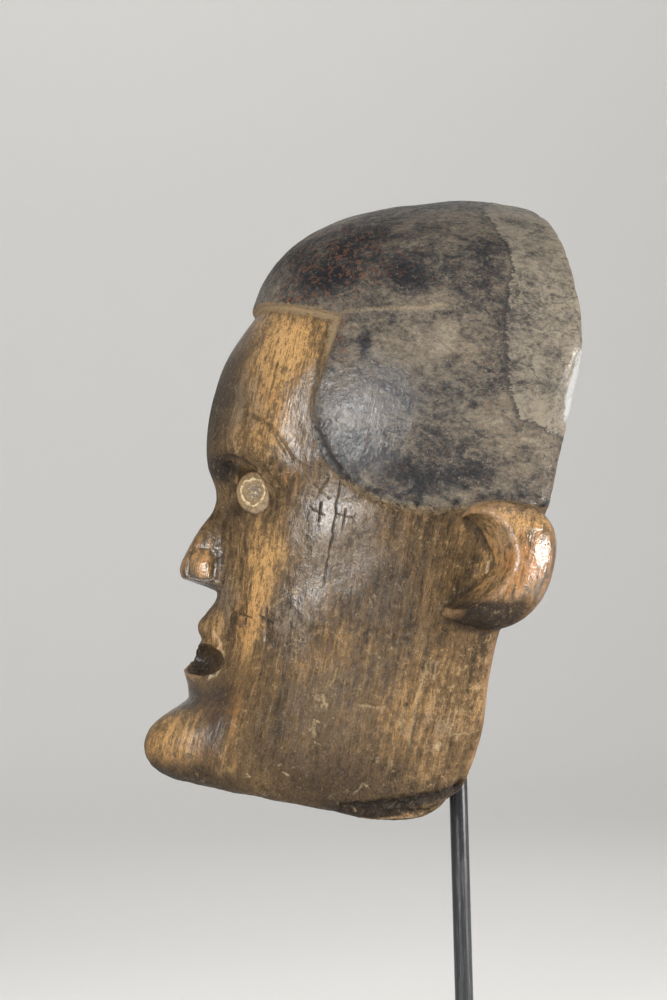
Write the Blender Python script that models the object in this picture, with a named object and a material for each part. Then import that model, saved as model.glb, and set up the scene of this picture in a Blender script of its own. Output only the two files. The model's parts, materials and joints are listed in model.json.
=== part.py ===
"""A carved wooden face mask with a raised cap of hair, held on a plain steel museum stand.

The mask is carved from one block: a deep shell, open at the back, with a long face, a jutting
chin, thick open ears at the back rim and an inlaid disc in each eye. It is modelled upright in
a frame of its own (x to the mask's left, y backwards from 0 at its back rim, z up from 0 at
its underside) and then leaned back over the stand. Metres, Z up. The origin is the middle of
the underside of the stand's foot, and the face looks towards -Y.
"""
import math

import bmesh
import bpy
import numpy as np
from mathutils import Matrix, Vector
from mathutils.bvhtree import BVHTree

MM = 0.001

# The mask's own sizes
MASK_HEIGHT = 330 * MM
MASK_DEPTH = 168 * MM
MASK_WIDTH = 184 * MM
WALL = 15 * MM
FRONT_WALL = 26 * MM
CHIN_BLOCK = 42 * MM
HOLLOW_PAST = 30 * MM
CAP_RAISE = 3.0 * MM
LEAN_BACK = math.radians(14.0)

# Ears: crescents seen from the side, open towards the face
EAR_HEIGHT = 63 * MM
EAR_PROUD = 22 * MM
EAR_ROOT = 9 * MM
EAR_DEPTH_SHARE = 0.116
EAR_HEIGHT_SHARE = 0.416
EAR_OPEN_UP = math.radians(138)
EAR_OPEN_DOWN = math.radians(126)

# Eyes: an oval disc let into each socket
EYE_LONG = 24.5 * MM
EYE_SHORT = 20.0 * MM
EYE_POCKET = 4.5 * MM
EYE_DOME = 1.8 * MM
EYE_TURN = math.radians(32.0)
EYE_FACING = math.radians(50.0)
EYE_SIDE_SHARE = 0.335
EYE_HEIGHT_SHARE = 0.454

# Mouth: one open pit, broken through to the mask's left
MOUTH_LONG = 33 * MM
MOUTH_TALL = 17 * MM
MOUTH_DEEP = 24 * MM
MOUTH_TURN = math.radians(26)
MOUTH_SIDE_SHARE = 0.075
MOUTH_DEPTH_SHARE = 0.862
MOUTH_HEIGHT_SHARE = 0.188

# Stand
ROD_DIAMETER = 9.5 * MM
ROD_SHOWN = 133 * MM
BAR_LENGTH = 64 * MM
FOOT_SIDE = 160 * MM
FOOT_THICK = 16 * MM
FOOT_ROUND = 2 * MM
ROD_SEAT = 11 * MM
GAP = 0.3 * MM

# Worn and rounded edges of the mask
UNDER_ROUND = 13 * MM
RIM_ROUND = 5 * MM
RIM_CHAMFER = 5 * MM
BACK_CORNER_RISE = 0.070

# How finely the carving is divided
AROUND = 48
UPWARDS = 53
INSIDE_AROUND = 22
INSIDE_UPWARDS = 16
EAR_STEPS = 22
ROD_SIDES = 24
EYE_SIDES = 24

# The line of the face down its middle without nose, lips and chin: share of the mask's
# height, and share of its depth in front of the back rim
FACE_LINE = (
    (0.000, 0.898), (0.050, 0.878), (0.100, 0.874), (0.145, 0.856), (0.225, 0.830),
    (0.300, 0.856), (0.372, 0.872), (0.436, 0.903), (0.478, 0.960), (0.530, 0.992),
    (0.585, 1.000), (0.635, 0.995), (0.683, 0.970), (0.750, 0.914),
)
# The half width of the mask at its back rim: share of height, share of half the width
WIDTH_LINE = (
    (0.000, 0.700), (0.030, 0.780), (0.090, 0.830), (0.200, 0.865), (0.340, 0.905),
    (0.500, 0.955), (0.640, 0.995), (0.720, 1.000),
)
# How far the back rim stands in from the flat at the sides: share of height, share of depth
RIM_LINE = (
    (0.000, 0.046), (0.120, 0.041), (0.300, 0.060), (0.400, 0.040), (0.500, 0.004),
    (0.730, 0.002), (0.780, 0.016), (0.830, 0.044), (0.900, 0.087), (0.955, 0.125),
    (1.000, 0.170),
)
# How boxy the level sections are: share of height, exponent (2 is an ellipse)
SQUARE_LINE = (
    (0.000, 1.75), (0.180, 1.80), (0.330, 2.05), (0.450, 2.15), (0.600, 2.25),
    (0.780, 2.35), (1.000, 2.20),
)
# The heights of the nose's underside and of its tip just above, as shares of the mask's height
NOSE_UNDER = 0.2985
NOSE_TIP = 0.3055
CROWN_START = 0.74
CROWN_TOP_DEPTH = 0.13
CROWN_RISE = 2.22
CROWN_BEND = 1.85
# The cap's edge seen from the side, as shares of depth in front of the back rim and of height:
# where it would leave the forehead, the corner at the temple, how far forward and how low the
# rounded part below the corner reaches, and its way back to the top of the ear
CAP_FRONT = (1.30, 0.768)
CAP_CORNER = (0.710, 0.732)
CAP_TEMPLE = (0.735, 0.606)
CAP_LOWEST = (0.431, 0.465)
CAP_BEHIND = ((0.315, 0.471), (0.248, 0.486), (0.164, 0.503), (0.021, 0.516), (-0.300, 0.522))
CAP_ROUNDING = 1.72


def spline(points, values):
    """A smooth line through a few points that never overshoots them, read at the values."""
    xs = np.array([p[0] for p in points])
    ys = np.array([p[1] for p in points])
    steps = np.diff(xs)
    slopes = np.diff(ys) / steps
    tangents = np.zeros(len(xs))
    tangents[0] = slopes[0]
    tangents[-1] = slopes[-1]
    for i in range(1, len(xs) - 1):
        if slopes[i - 1] * slopes[i] > 0:
            tangents[i] = 2 * slopes[i - 1] * slopes[i] / (slopes[i - 1] + slopes[i])
    t = np.clip(np.asarray(values, float), xs[0], xs[-1])
    i = np.clip(np.searchsorted(xs, t, side="right") - 1, 0, len(xs) - 2)
    u = (t - xs[i]) / steps[i]
    return (
        (1 + 2 * u) * (1 - u) ** 2 * ys[i]
        + u * (1 - u) ** 2 * steps[i] * tangents[i]
        + u ** 2 * (3 - 2 * u) * ys[i + 1]
        - u ** 2 * (1 - u) * steps[i] * tangents[i + 1]
    )


def ease(low, high, value):
    """0 below low, 1 above high, with a smooth rise between them."""
    t = np.clip((value - low) / (high - low), 0.0, 1.0)
    return t * t * (3 - 2 * t)


def swell(distance):
    """A smooth rounded swelling: 1 in its middle, 0 from a distance of 1 outwards."""
    return np.clip(1 - np.asarray(distance) ** 2, 0.0, 1.0) ** 2


def face_depth(share):
    """How far the bare middle line stands in front of the back rim, crown included."""
    face = MASK_DEPTH * spline(FACE_LINE, share)
    start = MASK_DEPTH * spline(FACE_LINE, CROWN_START)
    top = MASK_DEPTH * CROWN_TOP_DEPTH
    rise = np.clip((share - CROWN_START) / (1 - CROWN_START), 0.0, 1.0)
    crown = top + (start - top) * (1 - rise ** CROWN_RISE) ** (1 / CROWN_BEND)
    return np.where(share > CROWN_START, crown, face)


def half_width(share):
    """Half the mask's width at its back rim, closing over in an arch at the crown."""
    side = MASK_WIDTH / 2 * spline(WIDTH_LINE, share)
    arch_start = WIDTH_LINE[-1][0]
    rise = np.clip((share - arch_start) / (1 - arch_start), 0.0, 1.0)
    return side * (1 - rise ** 2.2) ** (1 / 2.0)


def cap_edge():
    """The cap's edge seen from the side, from the forehead to behind the ear."""
    turn = np.linspace(0, math.pi / 2, 10)
    bend = 2 / CAP_ROUNDING
    wide = CAP_TEMPLE[0] - CAP_LOWEST[0]
    tall = CAP_TEMPLE[1] - CAP_LOWEST[1]
    rounded = np.column_stack((CAP_LOWEST[0] + wide * np.cos(turn) ** bend,
                               CAP_TEMPLE[1] - tall * np.sin(turn) ** bend))
    line = np.vstack(((CAP_FRONT, CAP_CORNER), rounded, CAP_BEHIND))
    return line * (MASK_DEPTH, MASK_HEIGHT)


def nose_and_lips(x, z):
    """How far nose, lips and chin stand out in front of the bare face, straight forward."""
    h = MASK_HEIGHT
    d = MASK_DEPTH
    share = z / h
    ridge = spline(
        ((NOSE_UNDER, 0.0), (NOSE_TIP, 0.116), (0.320, 0.126), (0.345, 0.113),
         (0.385, 0.078), (0.415, 0.036), (0.455, 0.0)), share) * d
    spread = spline(((0.290, 0.195), (0.330, 0.19), (0.370, 0.145), (0.455, 0.11)), share)
    across = np.abs(x) / (spread * MASK_WIDTH / 2)
    nose = ridge * (1 - ease(0.16, 1.0, across))
    middle = np.abs(x) / MASK_WIDTH
    upper = 0.052 * d * swell((share - 0.246) / 0.042) * (1 - ease(0.02, 0.15, middle))
    lower = 0.064 * d * swell((share - 0.176) / 0.050) * (1 - ease(0.02, 0.15, middle))
    rim = 0.026 * d * swell((share - 0.212) / 0.045) * (1 - ease(0.03, 0.14, middle))
    chin = 0.098 * d * swell((share - 0.052) / 0.085) * (1 - ease(0.03, 0.21, middle))
    return nose + upper + lower + rim + chin


def face_relief(x, out, z):
    """How far the softer forms stand out along the surface: sockets, cheekbones, temples."""
    h = MASK_HEIGHT
    d = MASK_DEPTH
    w = MASK_WIDTH / 2
    side = np.abs(x)

    def patch(at_out, at_z, wide, tall, amount):
        """One rounded swelling or hollow at a place seen from the side."""
        far = np.hypot((out - at_out * d) / (wide * d), (z - at_z * h) / (tall * h))
        return amount * MM * swell(far)

    def front(at_x, at_z, wide, tall, amount):
        """One rounded swelling or hollow at a place seen from the front."""
        far = np.hypot((side - at_x * w) / (wide * w), (z - at_z * h) / (tall * h))
        facing = ease(0.62, 0.75, out / d)
        return amount * MM * facing * swell(far)

    relief = front(0.36, 0.455, 0.27, 0.062, -7.5)
    relief = relief + front(0.40, 0.515, 0.36, 0.050, 2.6)
    relief = relief + front(0.22, 0.335, 0.16, 0.075, -2.0)
    relief = relief + patch(0.66, 0.400, 0.20, 0.085, 3.0)
    relief = relief + patch(0.50, 0.355, 0.15, 0.090, -2.5)
    relief = relief + patch(0.60, 0.585, 0.22, 0.120, 3.2)
    relief = relief + patch(0.74, 0.560, 0.10, 0.090, -1.6)
    relief = relief + patch(0.22, 0.250, 0.26, 0.160, 1.6)
    relief = relief + patch(0.50, 0.180, 0.30, 0.110, 1.4)
    relief = relief + patch(0.80, 0.200, 0.07, 0.110, -2.0)
    return relief


def levels():
    """The heights of the sections as shares, closest together where the carving is fine."""
    density = spline(
        ((0.0, 2.6), (0.04, 1.1), (0.16, 1.3), (0.29, 1.5), (0.305, 3.4), (0.33, 1.4),
         (0.42, 1.25), (0.50, 0.9), (0.70, 0.8), (0.90, 1.1), (0.97, 2.2), (1.0, 5.0)),
        np.linspace(0, 1, 401))
    total = np.concatenate(([0.0], np.cumsum((density[1:] + density[:-1]) / 2)))
    heights = np.interp(np.linspace(0, total[-1], UPWARDS), total, np.linspace(0, 1, 401))
    for height in (NOSE_UNDER, NOSE_TIP):
        heights[np.abs(heights - height).argmin()] = height
    return heights


def section_angles(count):
    """Angles round a section from the mask's right to its left, closer together in front."""
    t = np.linspace(-1, 1, count)
    return (0.62 * t + 0.38 * t ** 3) * math.pi / 2


def sections(shares, angles, side_wall, front_wall):
    """The points of the level sections, within walls at the sides and in front: x, y and z."""
    z = shares[:, None] * MASK_HEIGHT + 0 * angles[None, :]
    reach = np.maximum(face_depth(shares) - front_wall, 1 * MM)[:, None]
    width = np.maximum(half_width(shares) - side_wall, 1 * MM)[:, None]
    power = 2 / spline(SQUARE_LINE, shares)[:, None]
    sine = np.sin(angles)[None, :]
    cosine = np.cos(angles)[None, :]
    x = width * np.sign(sine) * np.abs(sine) ** power
    y = -reach * np.abs(cosine) ** power
    return x, y, z


def outward(x, y):
    """The level direction away from the mask's middle at each point of the sections."""
    across = np.gradient(x, axis=1)
    along = np.gradient(y, axis=1)
    length = np.maximum(np.hypot(across, along), 1e-9)
    return along / length, -across / length


def lifted(y, z):
    """The heights with the underside rising a little backwards and its back corner worn."""
    back = np.clip(1 + y / (0.36 * MASK_DEPTH), 0.0, 1.0) ** 3
    fade = swell(z / (0.34 * MASK_HEIGHT)) ** 2
    slope = 0.006 * MASK_HEIGHT * ease(-0.80 * MASK_DEPTH, -0.35 * MASK_DEPTH, y)
    return z + (BACK_CORNER_RISE * MASK_HEIGHT * back + slope) * fade


def outer_points(rise):
    """The carved outside with nose, lips, chin and worn edges, grown level by a rise."""
    shares = levels()
    x, y, z = sections(shares, section_angles(AROUND), 0.0, 0.0)
    nx, ny = outward(x, y)
    crown = 1 - ease(0.86, 1.0, shares)[:, None]
    push = face_relief(x, -y, z) * crown + rise * (0.2 + 0.8 * crown)
    x = x + nx * push
    y = y + ny * push
    y = y - nose_and_lips(x, z)
    # the under edge turns in, and rows drawn in towards the middle close the underside
    turn = 1 - np.sqrt(1 - (1 - np.clip(z / UNDER_ROUND, 0, 1)) ** 2)
    x = x * (1 - 0.10 * turn)
    y = y * (1 - 0.055 * turn)
    middle = -0.42 * MASK_DEPTH
    inner = (0.15, 0.45, 0.80)
    x = np.vstack([x[:1] * share for share in inner] + [x])
    y = np.vstack([middle + (y[:1] - middle) * share for share in inner] + [y])
    z = np.vstack([z[:1]] * len(inner) + [z])
    # the back rim stands in from the flat
    share = z / MASK_HEIGHT
    stand_in = spline(RIM_LINE, share) * MASK_DEPTH
    z = lifted(y, z)
    y = y - stand_in * np.clip(1 + y / (0.5 * MASK_DEPTH), 0.0, 1.0)
    return x, y, z


def mesh_object(name, vertices, faces):
    """A new object from points and faces, with its faces turned outwards."""
    mesh = bpy.data.meshes.new(name)
    bm = bmesh.new()
    made = [bm.verts.new(v) for v in vertices]
    for face in faces:
        bm.faces.new([made[i] for i in face])
    bmesh.ops.recalc_face_normals(bm, faces=bm.faces)
    bm.to_mesh(mesh)
    bm.free()
    obj = bpy.data.objects.new(name, mesh)
    bpy.context.collection.objects.link(obj)
    return obj


def lofted(name, x, y, z):
    """A closed body from rows of section points, each square divided the shorter way."""
    rows, columns = x.shape
    vertices = [
        Vector((float(x[r, c]), float(y[r, c]), float(z[r, c])))
        for r in range(rows) for c in range(columns)
    ]
    faces = []
    for r in range(rows - 1):
        for c in range(columns):
            d = (c + 1) % columns
            square = (r * columns + c, r * columns + d,
                      (r + 1) * columns + d, (r + 1) * columns + c)
            one_way = (vertices[square[0]] - vertices[square[2]]).length
            other_way = (vertices[square[1]] - vertices[square[3]]).length
            if one_way > other_way + 1e-6:
                square = square[1:] + square[:1]
            faces += [square[:3], (square[0], square[2], square[3])]
    faces.append(tuple(range(columns)))
    faces.append(tuple((rows - 1) * columns + c for c in range(columns)))
    return mesh_object(name, vertices, faces)


def rounded_back(x, y, z):
    """The section points with a rounded edge added where each side meets the back.

    The left edge is worn off flat and wider above the ear.
    """
    x0, x1 = x[:, :1], x[:, -1:]
    y0, y1 = y[:, :1], y[:, -1:]
    z0, z1 = z[:, :1], z[:, -1:]
    right = np.minimum(RIM_ROUND, np.abs(x1) * 0.45)
    worn = RIM_CHAMFER * swell((z1 / MASK_HEIGHT - 0.66) / 0.14)
    left = np.minimum(RIM_ROUND + worn, np.abs(x1) * 0.45)
    round_off = 1 - math.cos(math.pi / 4)
    flat_off = round_off + 0.18 * worn / RIM_CHAMFER
    xs = np.hstack((x0 + right, x0 + right * round_off, x0, x[:, 1:-1],
                    x1, x1 - left * flat_off, x1 - left))
    ys = np.hstack((y0, y0 - right * round_off, y0 - right, y[:, 1:-1],
                    y1 - left, y1 - left * flat_off, y1))
    ys[:, 3] = np.minimum(ys[:, 3], ys[:, 2] - right[:, 0] * 0.4)
    ys[:, -4] = np.minimum(ys[:, -4], ys[:, -3] - left[:, 0] * 0.4)
    zs = np.hstack((z0, z0, z0, z[:, 1:-1], z1, z1, z1))
    return xs, ys, zs


def block(rise):
    """The carved block, grown by a rise, before it is hollowed and its ears are joined to it."""
    x, y, z = outer_points(rise)
    x, y, z = rounded_back(x, y, z)
    return lofted("mask", x, y, z)


def cap_prism():
    """The room of the cap: its edge seen from the side, carried straight across the mask."""
    edge = cap_edge()
    above = 1.3 * MASK_HEIGHT
    outline = [tuple(point) for point in edge] + [(edge[-1][0], above), (edge[0][0], above)]
    reach = 0.7 * MASK_WIDTH
    count = len(outline)
    vertices = [(x, -out, z) for x in (-reach, reach) for out, z in outline]
    faces = [tuple(range(count)), tuple(range(count, 2 * count))]
    for i in range(count):
        j = (i + 1) % count
        faces.append((i, j, count + j, count + i))
    return mesh_object("prism", vertices, faces)


def hollow():
    """The empty inside of the mask, as a tool that also clears the open back."""
    low = CHIN_BLOCK / MASK_HEIGHT
    high = 1 - WALL / MASK_HEIGHT
    rise = np.linspace(0, 1, INSIDE_UPWARDS)
    shares = low + (high - low) * (1 - (1 - rise) ** 1.5)
    # the inside follows the outside in outline, closed in over the chin and under the crown
    x, y, z = sections((shares - low) / (high - low), section_angles(INSIDE_AROUND),
                       WALL, FRONT_WALL)
    z = shares[:, None] * MASK_HEIGHT + 0 * x
    x = np.hstack((x[:, :1], x, x[:, -1:]))
    y = np.hstack((0 * y[:, :1] + HOLLOW_PAST, y, 0 * y[:, :1] + HOLLOW_PAST))
    z = np.hstack((z[:, :1], z, z[:, -1:]))
    return lofted("hollow", x, y, z)


def superellipse(angle, wide, tall, square):
    """The point of a superellipse in a direction, as a pair."""
    cosine = math.cos(angle)
    sine = math.sin(angle)
    return (wide * math.copysign(abs(cosine) ** (2 / square), cosine),
            tall * math.copysign(abs(sine) ** (2 / square), sine))


def ear(side):
    """One ear: a thick crescent open to the front, ridged along its outer face."""
    size = EAR_HEIGHT
    middle_y = -EAR_DEPTH_SHARE * MASK_DEPTH
    middle_z = EAR_HEIGHT_SHARE * MASK_HEIGHT
    root = float(half_width(np.array(middle_z / MASK_HEIGHT)))
    vertices = []
    for i in range(EAR_STEPS):
        turn = (i / (EAR_STEPS - 1) - 0.5) * 2
        angle = turn * (EAR_OPEN_UP if turn > 0 else EAR_OPEN_DOWN)
        # rounded behind, with a straighter top and a straight lower edge that ends in a corner
        square = 2.9 if angle > 0 else 1.9 if angle > -math.pi / 2 else 5.5
        outer = superellipse(angle, 0.42 * size, (0.50 if angle > 0 else 0.515) * size, square)
        outer = (middle_y + outer[0], middle_z + outer[1])
        if angle > 0:
            inner = superellipse(angle * 0.80, 0.27 * size, 0.32 * size, 1.45)
        else:
            inner = superellipse(angle * 0.80, 0.27 * size, 0.40 * size, 1.15)
        inner = (middle_y - 0.315 * size + inner[0], middle_z - 0.02 * size + inner[1])
        proud = EAR_PROUD * (1 - 0.62 * abs(turn) ** 3.5)
        # from the hollow the inside slopes up to a ridge, and the outer face falls off backwards
        profile = (
            (0.00, -EAR_ROOT), (0.00, 0.12 * proud), (0.10, 0.52 * proud), (0.21, 0.91 * proud),
            (0.30, proud), (0.54, 0.97 * proud), (0.80, 0.83 * proud), (0.94, 0.63 * proud),
            (1.00, 0.38 * proud), (1.00, -EAR_ROOT),
        )
        for share, height in profile:
            vertices.append((
                side * (root + height),
                inner[0] + (outer[0] - inner[0]) * share,
                inner[1] + (outer[1] - inner[1]) * share,
            ))
    count = len(profile)
    faces = []
    for i in range(EAR_STEPS - 1):
        for j in range(count):
            k = (j + 1) % count
            faces.append((i * count + j, i * count + k,
                          (i + 1) * count + k, (i + 1) * count + j))
    faces.append(tuple(range(count)))
    faces.append(tuple((EAR_STEPS - 1) * count + j for j in range(count)))
    return mesh_object("ear", vertices, faces)


def dome(name, long, short, under, rise, sides, rings):
    """An oval disc with a domed face, its long axis on x and its face towards z."""
    vertices = []
    for ring in range(rings):
        turn = ring / rings * math.pi / 2
        reach = math.cos(turn)
        for i in range(sides):
            a = 2 * math.pi * i / sides
            vertices.append((long / 2 * reach * math.cos(a), short / 2 * reach * math.sin(a),
                             rise * math.sin(turn)))
    top = len(vertices)
    vertices.append((0.0, 0.0, rise))
    for i in range(sides):
        a = 2 * math.pi * i / sides
        vertices.append((long / 2 * math.cos(a), short / 2 * math.sin(a), -under))
    low = top + 1
    faces = [tuple(low + i for i in range(sides))]
    for i in range(sides):
        j = (i + 1) % sides
        faces.append((low + i, low + j, j, i))
        for ring in range(rings - 1):
            faces.append((ring * sides + i, ring * sides + j,
                          (ring + 1) * sides + j, (ring + 1) * sides + i))
        faces.append(((rings - 1) * sides + i, (rings - 1) * sides + j, top))
    return mesh_object(name, vertices, faces)


def join_or_cut(target, tool, operation):
    """The target joined with a tool, or cut by it. The tool is used up."""
    modifier = target.modifiers.new("carve", "BOOLEAN")
    modifier.operation = operation
    modifier.solver = "EXACT"
    modifier.object = tool
    bpy.context.view_layer.update()
    evaluated = target.evaluated_get(bpy.context.evaluated_depsgraph_get())
    mesh = bpy.data.meshes.new_from_object(evaluated)
    target.modifiers.clear()
    old = target.data
    target.data = mesh
    bpy.data.meshes.remove(old)
    bpy.data.objects.remove(tool, do_unlink=True)


def surface_of(obj):
    """The object's faces as a tree that rays can be sent against."""
    bm = bmesh.new()
    bm.from_mesh(obj.data)
    tree = BVHTree.FromBMesh(bm)
    bm.free()
    return tree


def eye_frame(surface, side):
    """Where an eye's disc sits on the carved face: its middle and its axes."""
    across = side * EYE_SIDE_SHARE * MASK_WIDTH / 2
    height = EYE_HEIGHT_SHARE * MASK_HEIGHT
    start = Vector((across, -2 * MASK_DEPTH, height))
    point = surface.ray_cast(start, Vector((0, 1, 0)))[0]
    facing = Vector((side * math.sin(EYE_FACING), -math.cos(EYE_FACING), 0.05)).normalized()
    level = Vector((0, 0, 1)).cross(facing).normalized()
    upright = facing.cross(level)
    turned = level * math.cos(EYE_TURN) - side * upright * math.sin(EYE_TURN)
    third = facing.cross(turned)
    frame = Matrix((turned, third, facing)).transposed().to_4x4()
    frame.translation = point
    return frame


def transformed(obj, matrix):
    """The object with a matrix worked into its mesh."""
    obj.data.transform(matrix)
    obj.data.update()
    return obj


def eye(name, frame):
    """One inlaid disc, clear of its pocket's floor and sides by the gap."""
    body = dome(name, EYE_LONG, EYE_SHORT, EYE_POCKET - GAP, EYE_DOME, EYE_SIDES, 3)
    return transformed(body, frame)


def eye_pocket(frame):
    """The tool that cuts an eye's pocket, open to the front."""
    bpy.ops.mesh.primitive_cylinder_add(vertices=EYE_SIDES, radius=0.5, depth=1)
    tool = bpy.context.object
    height = EYE_POCKET + 14 * MM
    shape = Matrix.Diagonal((EYE_LONG + 2 * GAP, EYE_SHORT + 2 * GAP, height, 1))
    lift = Matrix.Translation((0, 0, height / 2 - EYE_POCKET))
    return transformed(tool, frame @ lift @ shape)


def mouth_pit():
    """The tool that opens the mouth: a rounded pit that runs out to the mask's left."""
    bpy.ops.mesh.primitive_uv_sphere_add(segments=24, ring_count=14, radius=0.5)
    tool = bpy.context.object
    shape = Matrix.Diagonal((MOUTH_LONG, MOUTH_DEEP, MOUTH_TALL, 1))
    turn = Matrix.Rotation(MOUTH_TURN, 4, "Z")
    place = Matrix.Translation((MOUTH_SIDE_SHARE * MASK_WIDTH / 2,
                                -MOUTH_DEPTH_SHARE * MASK_DEPTH,
                                MOUTH_HEIGHT_SHARE * MASK_HEIGHT))
    return transformed(tool, place @ turn @ shape)


def rod_line_y(mask):
    """How far back the lowest part of the leaned mask's open back reaches at its middle."""
    surface = surface_of(mask)
    reach = -1.0
    radius = ROD_DIAMETER / 2
    for across in np.linspace(-radius, radius, 5):
        for height in np.linspace(-0.1, 0.35, 91) * MASK_HEIGHT:
            start = Vector((float(across), 3 * MASK_DEPTH, float(height)))
            hit = surface.ray_cast(start, Vector((0, -1, 0)))[0]
            if hit is not None and hit.y > -0.25 * MASK_DEPTH:
                reach = max(reach, hit.y)
    return reach


def lowest(obj):
    """The lowest height of the object's mesh."""
    return min(v.co.z for v in obj.data.vertices)


def ceiling_over_bar(mask):
    """The lowest height of the hollow's ceiling over the cross bar's length."""
    surface = surface_of(mask)
    radius = ROD_DIAMETER / 2
    low = 10.0
    for across in np.linspace(-BAR_LENGTH / 2, BAR_LENGTH / 2, 9):
        for along in np.linspace(-radius, radius, 5):
            start = Vector((float(across), float(along), lowest(mask) + 0.5 * MASK_HEIGHT))
            hit = surface.ray_cast(start, Vector((0, 0, 1)))[0]
            if hit is not None:
                low = min(low, hit.z)
    return low


def stand_rod(ceiling):
    """The steel rod, from its seat in the foot up to the cross bar welded on its end."""
    radius = ROD_DIAMETER / 2
    top = ceiling - GAP - radius
    bottom = FOOT_THICK - ROD_SEAT + GAP
    bpy.ops.mesh.primitive_cylinder_add(vertices=ROD_SIDES, radius=radius,
                                        depth=top - bottom,
                                        location=(0, 0, (top + bottom) / 2))
    rod = bpy.context.object
    rod.name = "stand_rod"
    transformed(rod, rod.matrix_world.copy())
    rod.matrix_world = Matrix.Identity(4)
    bpy.ops.mesh.primitive_cylinder_add(vertices=ROD_SIDES, radius=radius, depth=BAR_LENGTH)
    bar = bpy.context.object
    turn = Matrix.Rotation(math.pi / 2, 4, "Y")
    transformed(bar, Matrix.Translation((0, 0, top)) @ turn)
    join_or_cut(rod, bar, "UNION")
    return rod


def stand_foot():
    """The plain square steel plate that the rod stands in."""
    bpy.ops.mesh.primitive_cube_add(size=1)
    foot = bpy.context.object
    foot.name = "stand_foot"
    shape = Matrix.Diagonal((FOOT_SIDE, FOOT_SIDE, FOOT_THICK, 1))
    transformed(foot, Matrix.Translation((0, 0, FOOT_THICK / 2)) @ shape)
    bm = bmesh.new()
    bm.from_mesh(foot.data)
    edges = [e for e in bm.edges if max(v.co.z for v in e.verts) > FOOT_THICK / 2]
    bmesh.ops.bevel(bm, geom=edges, offset=FOOT_ROUND, segments=2, profile=0.5,
                    affect="EDGES")
    bm.to_mesh(foot.data)
    bm.free()
    bpy.ops.mesh.primitive_cylinder_add(vertices=ROD_SIDES, radius=ROD_DIAMETER / 2 + GAP,
                                        depth=2 * ROD_SEAT)
    seat = bpy.context.object
    transformed(seat, Matrix.Translation((0, 0, FOOT_THICK)))
    join_or_cut(foot, seat, "DIFFERENCE")
    return foot


def finish(name, colour, roughness, metallic):
    """A plain material in a part's colour."""
    material = bpy.data.materials.new(name)
    material.use_nodes = True
    shader = material.node_tree.nodes["Principled BSDF"]
    shader.inputs["Base Color"].default_value = (*colour, 1.0)
    shader.inputs["Roughness"].default_value = roughness
    shader.inputs["Metallic"].default_value = metallic
    material.diffuse_color = (*colour, 1.0)
    return material


def dress(obj, material, sharp_from):
    """The object with one material and smooth shading between its sharp edges."""
    obj.data.materials.clear()
    obj.data.materials.append(material)
    obj.data.shade_smooth()
    obj.data.set_sharp_from_angle(angle=math.radians(sharp_from))


def build():
    """The mask, its two eye discs and its stand, in place."""
    for obj in list(bpy.data.objects):
        bpy.data.objects.remove(obj, do_unlink=True)

    mask = block(0.0)
    cap = block(CAP_RAISE)
    join_or_cut(cap, cap_prism(), "INTERSECT")
    join_or_cut(mask, cap, "UNION")
    frames = {name: eye_frame(surface_of(mask), side)
              for name, side in (("left_eye_inlay", 1), ("right_eye_inlay", -1))}
    for side in (1, -1):
        join_or_cut(mask, ear(side), "UNION")
    join_or_cut(mask, hollow(), "DIFFERENCE")
    join_or_cut(mask, mouth_pit(), "DIFFERENCE")
    eyes = []
    for name, frame in frames.items():
        join_or_cut(mask, eye_pocket(frame), "DIFFERENCE")
        eyes.append(eye(name, frame))

    lean = Matrix.Rotation(-LEAN_BACK, 4, "X")
    for obj in (mask, *eyes):
        transformed(obj, lean)
    forward = -rod_line_y(mask) - ROD_DIAMETER / 2 - GAP
    lift = FOOT_THICK + ROD_SHOWN - lowest(mask)
    for obj in (mask, *eyes):
        transformed(obj, Matrix.Translation((0, forward, lift)))

    rod = stand_rod(ceiling_over_bar(mask))
    foot = stand_foot()

    wood = finish("carved wood", (0.23, 0.14, 0.07), 0.5, 0.0)
    shell = finish("eye inlay", (0.62, 0.55, 0.42), 0.45, 0.0)
    steel = finish("black steel", (0.02, 0.022, 0.025), 0.4, 0.6)
    dress(mask, wood, 40)
    for obj in eyes:
        dress(obj, shell, 50)
    dress(rod, steel, 40)
    dress(foot, steel, 30)


build()
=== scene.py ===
"""Looks of the carved wooden face mask on its steel museum stand.

The mask is carved further here than in its solid. A copy of the solid is rounded, cut with the
smaller forms of the carving and its wear, and painted with values that one old-wood material
reads. The eye inlays are modelled anew. The rod and the foot keep their solids under black paint.
"""
import json
import logging
import math
from collections.abc import Callable, Mapping
from dataclasses import dataclass
from enum import Enum

import bmesh
import bpy
import numpy as np
from mathutils import Matrix, Vector
from mathutils.kdtree import KDTree

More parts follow.
